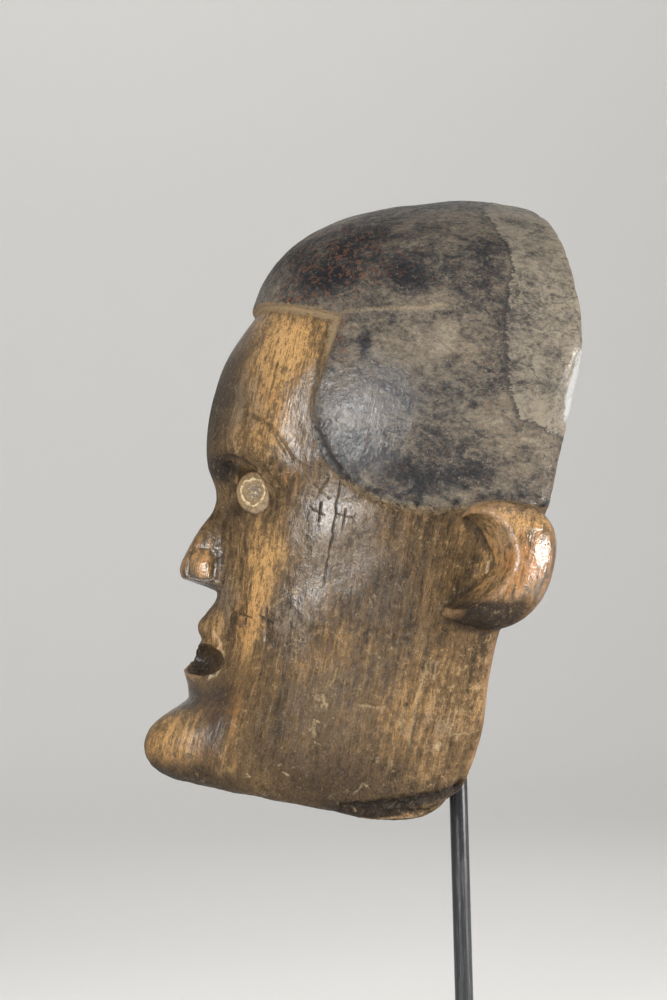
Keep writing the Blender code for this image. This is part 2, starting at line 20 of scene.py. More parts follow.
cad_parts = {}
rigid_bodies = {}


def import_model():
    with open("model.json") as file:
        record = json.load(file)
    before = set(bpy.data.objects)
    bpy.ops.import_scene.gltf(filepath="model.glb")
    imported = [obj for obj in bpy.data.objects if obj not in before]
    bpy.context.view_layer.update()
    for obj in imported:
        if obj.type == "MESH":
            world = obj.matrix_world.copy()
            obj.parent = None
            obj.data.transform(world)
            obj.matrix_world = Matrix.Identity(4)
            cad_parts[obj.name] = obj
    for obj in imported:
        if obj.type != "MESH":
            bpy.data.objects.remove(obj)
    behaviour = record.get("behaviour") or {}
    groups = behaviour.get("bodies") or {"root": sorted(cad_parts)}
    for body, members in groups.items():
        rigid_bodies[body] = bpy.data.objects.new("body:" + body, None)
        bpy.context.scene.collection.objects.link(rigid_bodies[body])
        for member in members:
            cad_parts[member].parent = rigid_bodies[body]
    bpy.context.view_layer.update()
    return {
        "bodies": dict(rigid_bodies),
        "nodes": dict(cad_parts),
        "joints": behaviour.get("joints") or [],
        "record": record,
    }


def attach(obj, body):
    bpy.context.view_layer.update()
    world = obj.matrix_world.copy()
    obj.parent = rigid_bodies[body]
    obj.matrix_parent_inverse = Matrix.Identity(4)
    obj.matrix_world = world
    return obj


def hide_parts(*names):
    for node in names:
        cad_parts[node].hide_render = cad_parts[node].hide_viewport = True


MM = 0.001
LOG = logging.getLogger("mask")

Colour = tuple[float, float, float]
Place = tuple[float, float, float]
Flat = tuple[float, float]


class Reach(Enum):
    """Which side of the mask a mark is on."""

    BOTH = (1, -1)
    LEFT = (1,)


class Layer(Enum):
    """What a painted spot adds to on the mask."""

    OCHRE = "ochre"
    AMBER = "amber"
    # grey bloom of old wax, partly a painted sheen on the cheeks, temples and forehead
    BLOOM = "bloom"
    # dark umber stains; the same layer also holds painted shade along the front edges of the forehead
    # and chin, under the nose, under the ear lobes and low on the back edge
    UMBER = "umber"
    CHALK = "chalk"
    SHINE = "shine"
    RAW = "raw"


@dataclass(frozen=True)
class OwnFrame:
    """The mask's own upright frame in millimetres: to its left, out from its back, and up."""

    lean: float = math.radians(14.0)
    heel: Place = (0.0, -8.01, 135.90)

    def turned(self, rows: np.ndarray) -> np.ndarray:
        """Turns directions in the scene into the mask's own frame.

        Args:
            rows: rows of x, y, z.

        Returns:
            Rows of side, out and up.
        """
        sine = math.sin(self.lean)
        cosine = math.cos(self.lean)
        back = rows[:, 1] * cosine - rows[:, 2] * sine
        up = rows[:, 1] * sine + rows[:, 2] * cosine
        return np.column_stack((rows[:, 0], -back, up))

    def from_world(self, points: np.ndarray) -> np.ndarray:
        """Turns places in the scene, in metres, into the mask's own frame in millimetres."""
        return self.turned(points / MM - np.array(self.heel))

    def shift(self) -> Place:
        """What is added to a turned place in millimetres so that the heel is at 0."""
        sine = math.sin(self.lean)
        cosine = math.cos(self.lean)
        side, back, up = self.heel
        return (-side, up * sine - back * cosine, -back * sine - up * cosine)

    def to_world(self, points: np.ndarray) -> np.ndarray:
        """Turns places in the mask's own frame back into the scene's.

        Args:
            points: rows of side, out and up in millimetres.

        Returns:
            Rows of x, y, z in metres.
        """
        sine = math.sin(self.lean)
        cosine = math.cos(self.lean)
        back = -points[:, 1]
        y = back * cosine + points[:, 2] * sine
        z = -back * sine + points[:, 2] * cosine
        return (np.column_stack((points[:, 0], y, z)) + np.array(self.heel)) * MM


def read_rows(mesh: bpy.types.Mesh, name: str) -> np.ndarray:
    """Reads what each vertex has under a name, such as its co or its normal.

    Args:
        mesh: the mesh.
        name: Blender's name for it.

    Returns:
        One row of three numbers for each vertex.
    """
    flat = np.empty(len(mesh.vertices) * 3)
    mesh.vertices.foreach_get(name, flat)
    return flat.reshape(-1, 3)


def paint_values(mesh: bpy.types.Mesh, values: dict[str, np.ndarray]) -> None:
    """Gives the vertices named values that a material reads.

    Args:
        mesh: the mesh.
        values: one value for each vertex under each name.
    """
    for name, value in values.items():
        layer = mesh.attributes.new(name, "FLOAT", "POINT")
        layer.data.foreach_set("value", value.astype(np.float32))


def ease(low: float, high: float, value: np.ndarray) -> np.ndarray:
    """Rises smoothly from 0 at low to 1 at high.

    Args:
        low: where the rise starts.
        high: where the rise ends.
        value: the values to read it at.

    Returns:
        The risen values, from 0 to 1.
    """
    t = np.clip((value - low) / (high - low), 0.0, 1.0)
    return t * t * (3 - 2 * t)


def swell(far: np.ndarray) -> np.ndarray:
    """A rounded swelling: 1 in its middle and 0 from a distance of 1 outwards."""
    return np.clip(1 - far ** 2, 0.0, 1.0) ** 2


def lattice_noise(points: np.ndarray, size: float, seed: int) -> np.ndarray:
    """Smooth noise that is the same in each run.

    Args:
        points: rows of three coordinates.
        size: how wide one swelling of the noise is.
        seed: which noise it is.

    Returns:
        One value from -1 to 1 for each row.
    """
    place = points / size + 13.7 * seed
    cell = np.floor(place).astype(np.int64)
    share = place - cell
    share = share * share * (3 - 2 * share)
    total = np.zeros(len(points))
    for corner in np.ndindex(2, 2, 2):
        at = cell + corner
        mixed = (at[:, 0] * 374761393 + at[:, 1] * 668265263 + at[:, 2] * 1274126177) & 0xFFFFFFFF
        mixed = ((mixed ^ (mixed >> 13)) * 1274126177) & 0xFFFFFFFF
        mixed = mixed ^ (mixed >> 16)
        weight = np.ones(len(points))
        for axis in range(3):
            weight = weight * (share[:, axis] if corner[axis] else 1 - share[:, axis])
        total += weight * (mixed / 2 ** 31 - 1)
    return total


def layered_noise(points: np.ndarray, size: float, seed: int, layers: int = 3) -> np.ndarray:
    """Noise with finer noise on it.

    Args:
        points: rows of three coordinates.
        size: how wide the coarsest swelling is.
        seed: which noise it is.
        layers: how many sizes are laid over each other.

    Returns:
        One value for each row, mostly from -1 to 1.
    """
    total = np.zeros(len(points))
    for layer in range(layers):
        total += lattice_noise(points, size / 2 ** layer, seed + layer) / 2 ** layer
    return total / 1.4


def signed_distance(outline: tuple[Flat, ...], points: np.ndarray) -> np.ndarray:
    """How far inside a closed outline each point lies.

    Args:
        outline: the corners, in order.
        points: rows of two coordinates.

    Returns:
        The distance to the outline, above 0 inside and below 0 outside.
    """
    corners = np.array(outline, float)
    nearest = np.full(len(points), 1e9)
    inside = np.zeros(len(points), bool)
    for start, end in zip(corners, np.roll(corners, -1, axis=0)):
        edge = end - start
        along = np.clip(((points - start) @ edge) / (edge @ edge), 0, 1)
        far = np.hypot(*(points - start - along[:, None] * edge).T)
        nearest = np.minimum(nearest, far)
        crosses = (start[1] > points[:, 1]) != (end[1] > points[:, 1])
        rise = edge[1] if edge[1] else 1e-9
        at = start[0] + (points[:, 1] - start[1]) / rise * edge[0]
        inside ^= crosses & (points[:, 0] < at)
    return np.where(inside, nearest, -nearest)


def side_plane(places: np.ndarray) -> np.ndarray:
    """Places of the mask as seen from its side: out and up."""
    return places[:, 1:]


@dataclass(frozen=True)
class Relief:
    """Seeded unevenness: its height and size in millimetres and how it is drawn out upwards."""

    height: float
    size: float
    seed: int
    drawn: float = 1.0
    layers: int = 3

    def at(self, places: np.ndarray) -> np.ndarray:
        """The height at each place, mostly within the height to both sides of 0."""
        drawn = places * (1, 1, self.drawn)
        return self.height * layered_noise(drawn, self.size, self.seed, self.layers)


@dataclass(frozen=True)
class Stroke:
    """A line cut into the carving, or raised on it where its depth is below 0.

    Its points are near the surface in the mask's own frame, and are drawn onto it.
    """

    points: tuple[Place, ...]
    depth: float
    width: float
    reach: Reach = Reach.BOTH
    # how dark the line is stained; along the eaten seam the stain is partly painted shade
    stain_and_shade: float = 0.0
    ragged: float = 0.0
    taper: float = 0.35
    pale: float = 0.0


@dataclass(frozen=True)
class Swelling:
    """A rounded form raised on the carving, or sunk where its rise is below 0."""

    middle: Place
    radii: Place
    rise: float
    reach: Reach = Reach.BOTH


@dataclass(frozen=True)
class Spot:
    """A soft-edged place of one layer of colour or shine, laid out as seen from the side."""

    layer: Layer
    middle: Flat
    radii: Flat
    amount: float
    turn: float = 0.0
    reach: Reach = Reach.BOTH
    least_side: float = 0.0


class Carving:
    """The mask's fine mesh as arrays, so that it can be cut and painted."""

    line_step = 0.4
    shake_size = 2.2
    shake_seed = 40
    smoothing = (0.55, -0.57)

    def __init__(self, obj: bpy.types.Object, own: OwnFrame) -> None:
        """Reads the mesh of the object into the mask's own frame."""
        self.obj = obj
        self.own = own
        mesh = obj.data
        self.count = len(mesh.vertices)
        self.places = own.from_world(read_rows(mesh, "co"))
        pairs = np.empty(len(mesh.edges) * 2, np.int64)
        mesh.edges.foreach_get("vertices", pairs)
        self.pairs = pairs.reshape(-1, 2)
        self.links = np.bincount(pairs, minlength=self.count).astype(float)
        self.normals = self.read_normals()

    def read_normals(self) -> np.ndarray:
        """The outward directions at the vertices, in the mask's own frame."""
        return self.own.turned(read_rows(self.obj.data, "normal"))

    def averaged(self, values: np.ndarray) -> np.ndarray:
        """The mean of each vertex's neighbours.

        Args:
            values: one value or one row for each vertex.

        Returns:
            The same shape of values.
        """
        flat = values.reshape(self.count, -1)
        result = np.empty_like(flat)
        first = self.pairs[:, 0]
        second = self.pairs[:, 1]
        for column in range(flat.shape[1]):
            data = flat[:, column]
            total = np.bincount(first, data[second], self.count)
            total += np.bincount(second, data[first], self.count)
            result[:, column] = total / np.maximum(self.links, 1)
        return result.reshape(values.shape)

    def softened(self, values: np.ndarray, times: int) -> np.ndarray:
        """The values evened out between neighbours.

        Args:
            values: one value or one row for each vertex.
            times: how often they are evened out.

        Returns:
            The same shape of values.
        """
        for _ in range(times):
            values = (values + self.averaged(values)) / 2
        return values

    def smooth(self, times: int, weight: np.ndarray) -> None:
        """Evens out the surface without shrinking it.

        Args:
            times: how many rounds of smoothing are done.
            weight: how strongly each vertex takes part, from 0 to 1.
        """
        for _ in range(times):
            for step in self.smoothing:
                move = self.averaged(self.places) - self.places
                self.places += move * (step * weight)[:, None]

    def push(self, amount: np.ndarray) -> None:
        """Moves each vertex outwards by its amount in millimetres."""
        self.places += self.normals * amount[:, None]

    def write(self) -> None:
        """Writes the places back into the mesh and reads its new normals."""
        self.obj.data.vertices.foreach_set("co", self.own.to_world(self.places).ravel())
        self.obj.data.update()
        self.normals = self.read_normals()

    def tree(self) -> KDTree:
        """A search tree over the vertices, in the mask's own frame."""
        tree = KDTree(self.count)
        for index, place in enumerate(self.places):
            tree.insert(place, index)
        tree.balance()
        return tree

    def drawn_on(self, tree: KDTree, points: tuple[Place, ...], side: int) -> np.ndarray:
        """A line through some points, drawn onto the surface in short steps.

        Args:
            tree: the search tree of the vertices.
            points: the line's points near the surface.
            side: 1 for the mask's left and -1 for its right.

        Returns:
            Rows of places on the surface.
        """
        corners = np.array(points, float) * (side, 1, 1)
        steps = np.hypot.reduce(np.diff(corners, axis=0), axis=1)
        along = np.concatenate(([0.0], np.cumsum(steps)))
        places = np.linspace(0, along[-1], max(int(along[-1] / self.line_step), 2))
        line = np.column_stack([np.interp(places, along, corners[:, i]) for i in range(3)])
        drawn = []
        for point in line:
            _, index, _ = tree.find(point)
            normal = self.normals[index]
            drawn.append(point - normal * ((point - self.places[index]) @ normal))
        return np.array(drawn)

    def near_stroke(self, tree: KDTree, stroke: Stroke, spread: float) -> tuple[np.ndarray, np.ndarray]:
        """How far each vertex is from a stroke, and how strong the stroke is there.

        Args:
            tree: the search tree of the vertices.
            stroke: the stroke.
            spread: how far from the stroke vertices are looked for, in millimetres.

        Returns:
            The distances in millimetres and the strengths from 0 to 1.
        """
        distance = np.full(self.count, spread)
        strength = np.zeros(self.count)
        for side in stroke.reach.value:
            line = self.drawn_on(tree, stroke.points, side)
            if stroke.ragged:
                shake = [lattice_noise(line, self.shake_size, self.shake_seed + axis)
                         for axis in range(3)]
                line = line + np.column_stack(shake) * stroke.ragged
            ends = np.linspace(0, 1, len(line))
            fade = np.clip(np.minimum(ends, 1 - ends) / max(stroke.taper / 2, 1e-3), 0, 1) ** 0.5
            for point, strong in zip(line, fade):
                for _, index, far in tree.find_range(point, spread):
                    if far < distance[index]:
                        distance[index] = far
                        strength[index] = strong
        return distance, strength


def node_mesh_copy(node: bpy.types.Object, name: str) -> bpy.types.Object:
    """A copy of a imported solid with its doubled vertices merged.

    Args:
        node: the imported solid.
        name: the copy's name.

    Returns:
        The copy, linked to the scene.
    """
    made = node.copy()
    made.data = node.data.copy()
    made.name = name
    made.data.name = name
    made.parent = None
    made.matrix_world = Matrix.Identity(4)
    bpy.context.collection.objects.link(made)
    bm = bmesh.new()
    bm.from_mesh(made.data)
    bmesh.ops.remove_doubles(bm, verts=bm.verts, dist=1e-6)
    bm.to_mesh(made.data)
    bm.free()
    kept_normals = made.data.attributes.get("custom_normal")
    if kept_normals:
        made.data.attributes.remove(kept_normals)
    return made


def pick_only(obj: bpy.types.Object) -> None:
    """Selects one object alone and makes it the active one."""
    bpy.ops.object.select_all(action="DESELECT")
    obj.select_set(True)
    bpy.context.view_layer.objects.active = obj


def apply_modifier(obj: bpy.types.Object, kind: str, **settings: object) -> None:
    """Adds a modifier with its settings and applies it at once.

    Args:
        obj: the object it works on.
        kind: Blender's name for the modifier.
        **settings: its settings.
    """
    pick_only(obj)
    modifier = obj.modifiers.new(kind.lower(), kind)
    for key, value in settings.items():
        setattr(modifier, key, value)
    bpy.ops.object.modifier_apply(modifier=modifier.name)


class Wiring:
    """Adds shader nodes to one node tree and joins them."""

    def __init__(self, tree: bpy.types.NodeTree) -> None:
        """Works in the given node tree."""
        self.tree = tree

    def add(self, kind: str, inputs: dict | None = None, **settings: object) -> bpy.types.Node:
        """Adds a node.

        Args:
            kind: Blender's name for the node.
            inputs: what its sockets get, a value or another node's output.
            **settings: its settings.

        Returns:
            The node.
        """
        node = self.tree.nodes.new(kind)
        for key, value in settings.items():
            setattr(node, key, value)
        for key, value in (inputs or {}).items():
            self.feed(value, node.inputs[key])
        return node

    def feed(self, value: object, socket: bpy.types.NodeSocket) -> None:
        """Gives a socket a value, or joins another node's output to it."""
        if isinstance(value, bpy.types.NodeSocket):
            self.tree.links.new(value, socket)
        elif isinstance(value, tuple) and len(value) == 3 and socket.type == "RGBA":
            socket.default_value = (*value, 1.0)
        else:
            socket.default_value = value

    def compute(self, operation: str, first: object, second: object = 0.0,
                third: object = 0.0, clamp: bool = False) -> bpy.types.NodeSocket:
        """One step of arithmetic.

        Args:
            operation: Blender's name for it.
            first: its first value.
            second: its second value.
            third: its third value, where it has one.
            clamp: whether the result stays from 0 to 1.

        Returns:
            The result's output.
        """
        node = self.add("ShaderNodeMath", {0: first, 1: second, 2: third},
                        operation=operation, use_clamp=clamp)
        return node.outputs[0]

    def times(self, first: object, second: object, clamp: bool = False) -> bpy.types.NodeSocket:
        """The product of two values, kept from 0 to 1 where clamp is set."""
        return self.compute("MULTIPLY", first, second, clamp=clamp)

    def plus(self, first: object, second: object, clamp: bool = False) -> bpy.types.NodeSocket:
        """The sum of two values, kept from 0 to 1 where clamp is set."""
        return self.compute("ADD", first, second, clamp=clamp)

    def rise(self, value: object, low: object, high: object) -> bpy.types.NodeSocket:
        """A smooth rise from 0 at low to 1 at high."""
        node = self.add("ShaderNodeMapRange", {"Value": value, "From Min": low, "From Max": high},
                        interpolation_type="SMOOTHSTEP")
        return node.outputs["Result"]

    def spread(self, value: object, low: float, high: float) -> bpy.types.NodeSocket:
        """A value from 0 to 1 laid out straight from low to high."""
        node = self.add("ShaderNodeMapRange", {"Value": value, "To Min": low, "To Max": high})
        return node.outputs["Result"]

    def blend(self, share: object, first: object, second: object) -> bpy.types.NodeSocket:
        """A mix of two colours, all of the second where the share is 1."""
        node = self.add("ShaderNodeMix", data_type="RGBA")
        self.feed(share, node.inputs[0])
        self.feed(first, node.inputs[6])
        self.feed(second, node.inputs[7])
        return node.outputs[2]

    def total(self, base: float, *parts: tuple[object, float]) -> bpy.types.NodeSocket:
        """A base value and some outputs, each with its weight, added up."""
        result = base
        for value, weight in parts:
            result = self.compute("MULTIPLY_ADD", value, weight, result)
        return result

    def stretched(self, vector: object, shares: Place) -> bpy.types.NodeSocket:
        """A vector with each part multiplied by its share."""
        node = self.add("ShaderNodeVectorMath", {0: vector, 1: shares}, operation="MULTIPLY")
        return node.outputs[0]

    def noise(self, vector: object, scale: object, detail: float = 3.0,
              rough: float = 0.55, twist: float = 0.0) -> bpy.types.NodeSocket:
        """A noise texture's value, about 0.5 in the middle."""
        node = self.add("ShaderNodeTexNoise", {"Vector": vector, "Scale": scale, "Detail": detail,
                                               "Roughness": rough, "Distortion": twist})
        return node.outputs["Fac"]

    def in_millimetres(self) -> bpy.types.NodeSocket:
        """The place on the piece in millimetres."""
        place = self.add("ShaderNodeTexCoord").outputs["Object"]
        return self.stretched(place, (1 / MM, 1 / MM, 1 / MM))

    def bump(self, height: object, strength: float = 1.0) -> bpy.types.NodeSocket:
        """The directions of a surface with a relief, a height of 1 being a millimetre."""
        node = self.add("ShaderNodeBump", {"Height": height, "Distance": MM, "Strength": strength})
        return node.outputs["Normal"]

    def painted(self, name: str) -> bpy.types.NodeSocket:
        """A value that was painted on the mesh."""
        return self.add("ShaderNodeAttribute", attribute_name=name).outputs["Fac"]

    def group(self, tree: bpy.types.NodeTree, **inputs: object) -> bpy.types.NodeSocket:
        """Places a node group and gives its first output."""
        node = self.add("ShaderNodeGroup", node_tree=tree)
        for key, value in inputs.items():
            self.feed(value, node.inputs[key])
        return node.outputs[0]


class Effects:
    """The effects that several finishes share, each a shader node group built once."""

    drawn_out = 0.055
    flake_bend = 7.0
    bend_scale = 0.16

    def __init__(self) -> None:
        """Builds the groups."""
        self.mottle = self.made("mottle", {"Size": 10.0, "Contrast": 1.0}, self.wire_mottle)
        self.fibre = self.made("fibre", {"Width": 1.0, "Contrast": 1.0}, self.wire_fibre)
        self.flecks = self.made("flecks", {"Size": 1.0, "Amount": 0.2}, self.wire_flecks)
        self.crackle = self.made("crackle", {"Size": 10.0, "Width": 0.05}, self.wire_crackle)

    @staticmethod
    def made(name: str, values: dict[str, float], wire: Callable) -> bpy.types.NodeTree:
        """Makes one group with a Vector input, its values and a Mask output.

        Args:
            name: the group's name.
            values: the names of its number inputs and their defaults.
            wire: the function that joins its nodes.

        Returns:
            The group.
        """
        tree = bpy.data.node_groups.new(name, "ShaderNodeTree")
        tree.interface.new_socket(name="Vector", in_out="INPUT", socket_type="NodeSocketVector")
        for key, value in values.items():
            socket = tree.interface.new_socket(name=key, in_out="INPUT",
                                               socket_type="NodeSocketFloat")
            socket.default_value = value
        tree.interface.new_socket(name="Mask", in_out="OUTPUT", socket_type="NodeSocketFloat")
        wiring = Wiring(tree)
        given = wiring.add("NodeGroupInput").outputs
        result = wiring.add("NodeGroupOutput")
        wiring.feed(wire(wiring, given), result.inputs["Mask"])
        return tree

    @staticmethod
    def contrasted(wiring: Wiring, value: object, contrast: object) -> bpy.types.NodeSocket:
        """A value spread about its middle of 0.5 and kept from 0 to 1."""
        middled = wiring.compute("SUBTRACT", value, 0.5)
        return wiring.compute("MULTIPLY_ADD", middled, contrast, 0.5, clamp=True)

    @classmethod
    def wire_mottle(cls, wiring: Wiring, given: Mapping) -> bpy.types.NodeSocket:
        """Cloudy patches of a size."""
        scale = wiring.compute("DIVIDE", 1.0, given["Size"])
        cloud = wiring.noise(given["Vector"], scale, 5.0, 0.62, 0.4)
        return cls.contrasted(wiring, cloud, given["Contrast"])

    @classmethod
    def wire_fibre(cls, wiring: Wiring, given: Mapping) -> bpy.types.NodeSocket:
        """Streaks of wood fibre that run up the carving."""
        scale = wiring.compute("DIVIDE", 1.0, given["Width"])
        drawn = wiring.stretched(given["Vector"], (1.0, 1.0, cls.drawn_out))
        streak = wiring.noise(drawn, scale, 3.0, 0.6, 0.25)
        return cls.contrasted(wiring, streak, given["Contrast"])

    @staticmethod
    def wire_flecks(wiring: Wiring, given: Mapping) -> bpy.types.NodeSocket:
        """Small sharp-edged flecks, more of them for a larger amount."""
        scale = wiring.compute("DIVIDE", 1.0, given["Size"])
        grit = wiring.noise(given["Vector"], scale, 2.0, 0.7, 0.8)
        low = wiring.compute("SUBTRACT", 0.74, wiring.times(given["Amount"], 0.42))
        return wiring.rise(grit, low, wiring.plus(low, 0.05))

    @classmethod
    def wire_crackle(cls, wiring: Wiring, given: Mapping) -> bpy.types.NodeSocket:
        """A net of cracks between flakes."""
        scale = wiring.compute("DIVIDE", 1.0, given["Size"])
        shift = wiring.add("ShaderNodeTexNoise", {"Vector": given["Vector"],
                                                  "Scale": cls.bend_scale,
                                                  "Detail": 4.0, "Roughness": 0.7})
        bent = wiring.stretched(shift.outputs["Color"], (cls.flake_bend,) * 3)
        moved = wiring.add("ShaderNodeVectorMath", {0: given["Vector"], 1: bent}, operation="ADD")
        net = wiring.add("ShaderNodeTexVoronoi", {"Vector": moved.outputs[0], "Scale": scale},
                         feature="DISTANCE_TO_EDGE")
        node = wiring.add("ShaderNodeMapRange", {"Value": net.outputs["Distance"], "From Min": 0.0,
                                                 "From Max": given["Width"], "To Min": 1.0,
                                                 "To Max": 0.0}, interpolation_type="SMOOTHSTEP")
        return node.outputs["Result"]


def new_material(name: str) -> tuple[bpy.types.Material, Wiring, bpy.types.Node]:
    """A material with an empty Principled shader.

    Args:
        name: the material's name.

    Returns:
        The material, the wiring of its nodes and its shader.
    """
    material = bpy.data.materials.new(name)
    material.use_nodes = True
    material.node_tree.nodes.clear()
    wiring = Wiring(material.node_tree)
    shader = wiring.add("ShaderNodeBsdfPrincipled")
    wiring.add("ShaderNodeOutputMaterial", {"Surface": shader.outputs[0]})
    return material, wiring, shader


@dataclass(frozen=True)
class Grain:
    """The unevenness of the wood that its colour, relief and wax are worked out from."""

    fine: bpy.types.NodeSocket
    grit: bpy.types.NodeSocket
    hair: bpy.types.NodeSocket
    streak: bpy.types.NodeSocket
    on_cap: bpy.types.NodeSocket


@dataclass(frozen=True)
class OldWood:
    """Old waxed and handled wood: a brown and ochre face, a worn black cap and a raw inside."""

    deep: Colour = (0.030, 0.019, 0.010)
    brown: Colour = (0.100, 0.061, 0.027)
    ochre: Colour = (0.43, 0.245, 0.090)
    amber: Colour = (0.38, 0.150, 0.034)
    # grey-brown film of bloomed wax, partly a painted sheen
    film_and_sheen: Colour = (0.150, 0.120, 0.090)
    # dark umber for stains, cuts and pits, also laid down as painted shade
    umber: Colour = (0.014, 0.010, 0.008)
    chalk: Colour = (0.34, 0.255, 0.145)
    coal: Colour = (0.010, 0.011, 0.013)
    slate: Colour = (0.038, 0.035, 0.032)
    # grey-blue glaze on the cap, partly a painted sheen
    glaze_and_sheen: Colour = (0.070, 0.073, 0.078)
    tan: Colour = (0.135, 0.112, 0.082)
    flake: Colour = (0.22, 0.19, 0.145)
    rust: Colour = (0.14, 0.055, 0.026)
    fuzz: Colour = (0.25, 0.18, 0.105)
    bare: Colour = (0.40, 0.23, 0.115)
    # pale grey of wood worn through the cap; on the polished facet at the cap's back edge this pale
    # grey is partly a painted highlight
    worn: Colour = (0.33, 0.335, 0.33)
    hollow: Colour = (0.15, 0.092, 0.052)
    dull_rough: float = 0.70
    wax_rough: float = 0.14
    specular: float = 0.12
    fibre_slant: float = math.radians(32)
    torn_below: Flat = (30.0, 95.0)

    def vector(self, wiring: Wiring, own: OwnFrame) -> bpy.types.NodeSocket:
        """The place on the mask in millimetres: to its left, backwards and up."""
        place = wiring.add("ShaderNodeTexCoord").outputs["Object"]
        node = wiring.add("ShaderNodeMapping", {"Vector": place,
                                                "Location": own.shift(),
                                                "Rotation": (own.lean, 0.0, 0.0),
                                                "Scale": (1 / MM, 1 / MM, 1 / MM)})
        return node.outputs[0]

    def skin(self, wiring: Wiring, at: object, effects: Effects) -> bpy.types.NodeSocket:
        """The colour of the face, the jaw and the ears.

        Args:
            wiring: the material's wiring.
            at: the place on the mask in millimetres.
            effects: the shared effects.

        Returns:
            The colour.
        """
        cloud = wiring.group(effects.mottle, Vector=at, Size=20.0, Contrast=1.2)
        fine = wiring.group(effects.mottle, Vector=at, Size=3.6, Contrast=1.5)
        grit = wiring.group(effects.mottle, Vector=at, Size=1.0, Contrast=1.7)
        streak = wiring.group(effects.fibre, Vector=at, Width=3.0, Contrast=1.6)
        hair = wiring.group(effects.fibre, Vector=at, Width=0.8, Contrast=1.7)
        tone = wiring.total(-3.05, (wiring.painted("ochre"), 1.0), (cloud, 1.1), (fine, 1.2),
                            (grit, 0.9), (streak, 1.4), (hair, 1.2))
        colour = wiring.blend(wiring.rise(tone, -0.60, 0.25), self.deep, self.brown)
        colour = wiring.blend(wiring.rise(tone, 0.15, 1.15), colour, self.ochre)
        fresh = wiring.total(-1.0, (wiring.painted("amber"), 1.0), (streak, 1.2), (fine, 0.8))
        fresh = wiring.rise(fresh, 0.25, 0.95)
        colour = wiring.blend(wiring.times(fresh, 0.55), colour, self.amber)
        # grey-brown film of bloomed wax over the wood, partly a painted sheen
        cover = wiring.total(-1.70, (wiring.painted("bloom"), 1.0), (streak, 1.3), (fine, 1.2),
                             (grit, 0.9))
        cover = wiring.rise(cover, 0.15, 0.85)
        colour = wiring.blend(wiring.times(cover, 0.65), colour, self.film_and_sheen)
        dark = wiring.total(-1.55, (hair, 1.6), (cloud, 0.7), (grit, 0.8))
        dark = wiring.times(wiring.rise(dark, 0.16, 0.42), 0.75)
        # umber stains, and the painted shade that the spots lay in the same layer
        stain_and_shade = wiring.total(-0.80, (wiring.painted("umber"), 1.0), (fine, 1.0), (streak, 0.6))
        stain_and_shade = wiring.times(wiring.rise(stain_and_shade, 0.05, 0.85), 0.92)
        colour = wiring.blend(wiring.compute("MAXIMUM", dark, stain_and_shade), colour, self.umber)
        rubbed = wiring.group(effects.flecks, Vector=wiring.stretched(at, (1.0, 1.0, 0.3)),
                              Size=1.5, Amount=0.20)
        pale = wiring.total(-1.10, (wiring.painted("chalk"), 1.0), (fine, 1.5), (grit, 0.7))
        pale = wiring.compute("MAXIMUM", wiring.times(rubbed, 0.20),
                          wiring.times(wiring.rise(pale, 0.20, 0.70), 0.6))
        return wiring.blend(pale, colour, self.chalk)

    def cap(self, wiring: Wiring, at: object, effects: Effects) -> bpy.types.NodeSocket:
        """The colour of the worn black cap and of the thick crust at its back.

        Args:
            wiring: the material's wiring.
            at: the place on the mask in millimetres.
            effects: the shared effects.

        Returns:
            The colour.
        """
        level = wiring.stretched(at, (1.0, 0.6, 1.0))
        cloud = wiring.noise(level, 1 / 30.0, 5.0, 0.62, 0.4)
        patch = wiring.noise(level, 1 / 6.0, 6.0, 0.72, 0.9)
        speck = wiring.noise(level, 1 / 1.4, 4.0, 0.70, 0.6)
        tone = wiring.total(-1.75, (cloud, 1.6), (patch, 1.7), (speck, 1.2),
                            (wiring.painted("umber"), -0.50), (wiring.painted("chalk"), 0.35))
        colour = wiring.blend(wiring.rise(tone, -0.05, 0.50), self.coal, self.slate)
        colour = wiring.blend(wiring.rise(tone, 0.25, 0.90), colour, self.tan)
        colour = wiring.blend(wiring.times(wiring.rise(tone, 0.75, 1.15), 0.7), colour,
                              self.flake)
        # grey-blue glaze, partly a painted sheen on the temple and the middle of the cap
        glaze_and_sheen_share = wiring.rise(wiring.total(-0.5, (wiring.painted("bloom"), 1.0), (patch, 1.0)),
                             0.20, 0.80)
        colour = wiring.blend(wiring.times(glaze_and_sheen_share, 0.50), colour, self.glaze_and_sheen)
        red = wiring.group(effects.flecks, Vector=at, Size=2.6, Amount=0.46)
        red = wiring.times(red, wiring.painted("ochre"), clamp=True)
        colour = wiring.blend(red, colour, self.rust)
        shake = wiring.total(-13.5, (cloud, 10.0), (patch, 12.0), (speck, 5.0))
        edge = wiring.plus(wiring.painted("crust_mm"), shake)
        shell = wiring.rise(edge, -1.0, 1.0)
        shard = wiring.blend(wiring.rise(tone, 0.0, 0.75), self.slate, self.flake)
        colour = wiring.blend(wiring.times(shell, 0.60), colour, shard)
        net = wiring.group(effects.crackle, Vector=at, Size=15.0, Width=0.035)
        net = wiring.times(net, wiring.rise(patch, 0.48, 0.60))
        net = wiring.times(net, wiring.rise(edge, -9.0, 2.0))
        line = wiring.compute("SUBTRACT", 1.0, wiring.rise(wiring.compute("ABSOLUTE", edge), 0.2, 1.2))
        line = wiring.times(line, wiring.rise(patch, 0.40, 0.52))
        net = wiring.compute("MAXIMUM", net, line)
        return wiring.blend(wiring.times(net, 0.75), colour, self.coal)

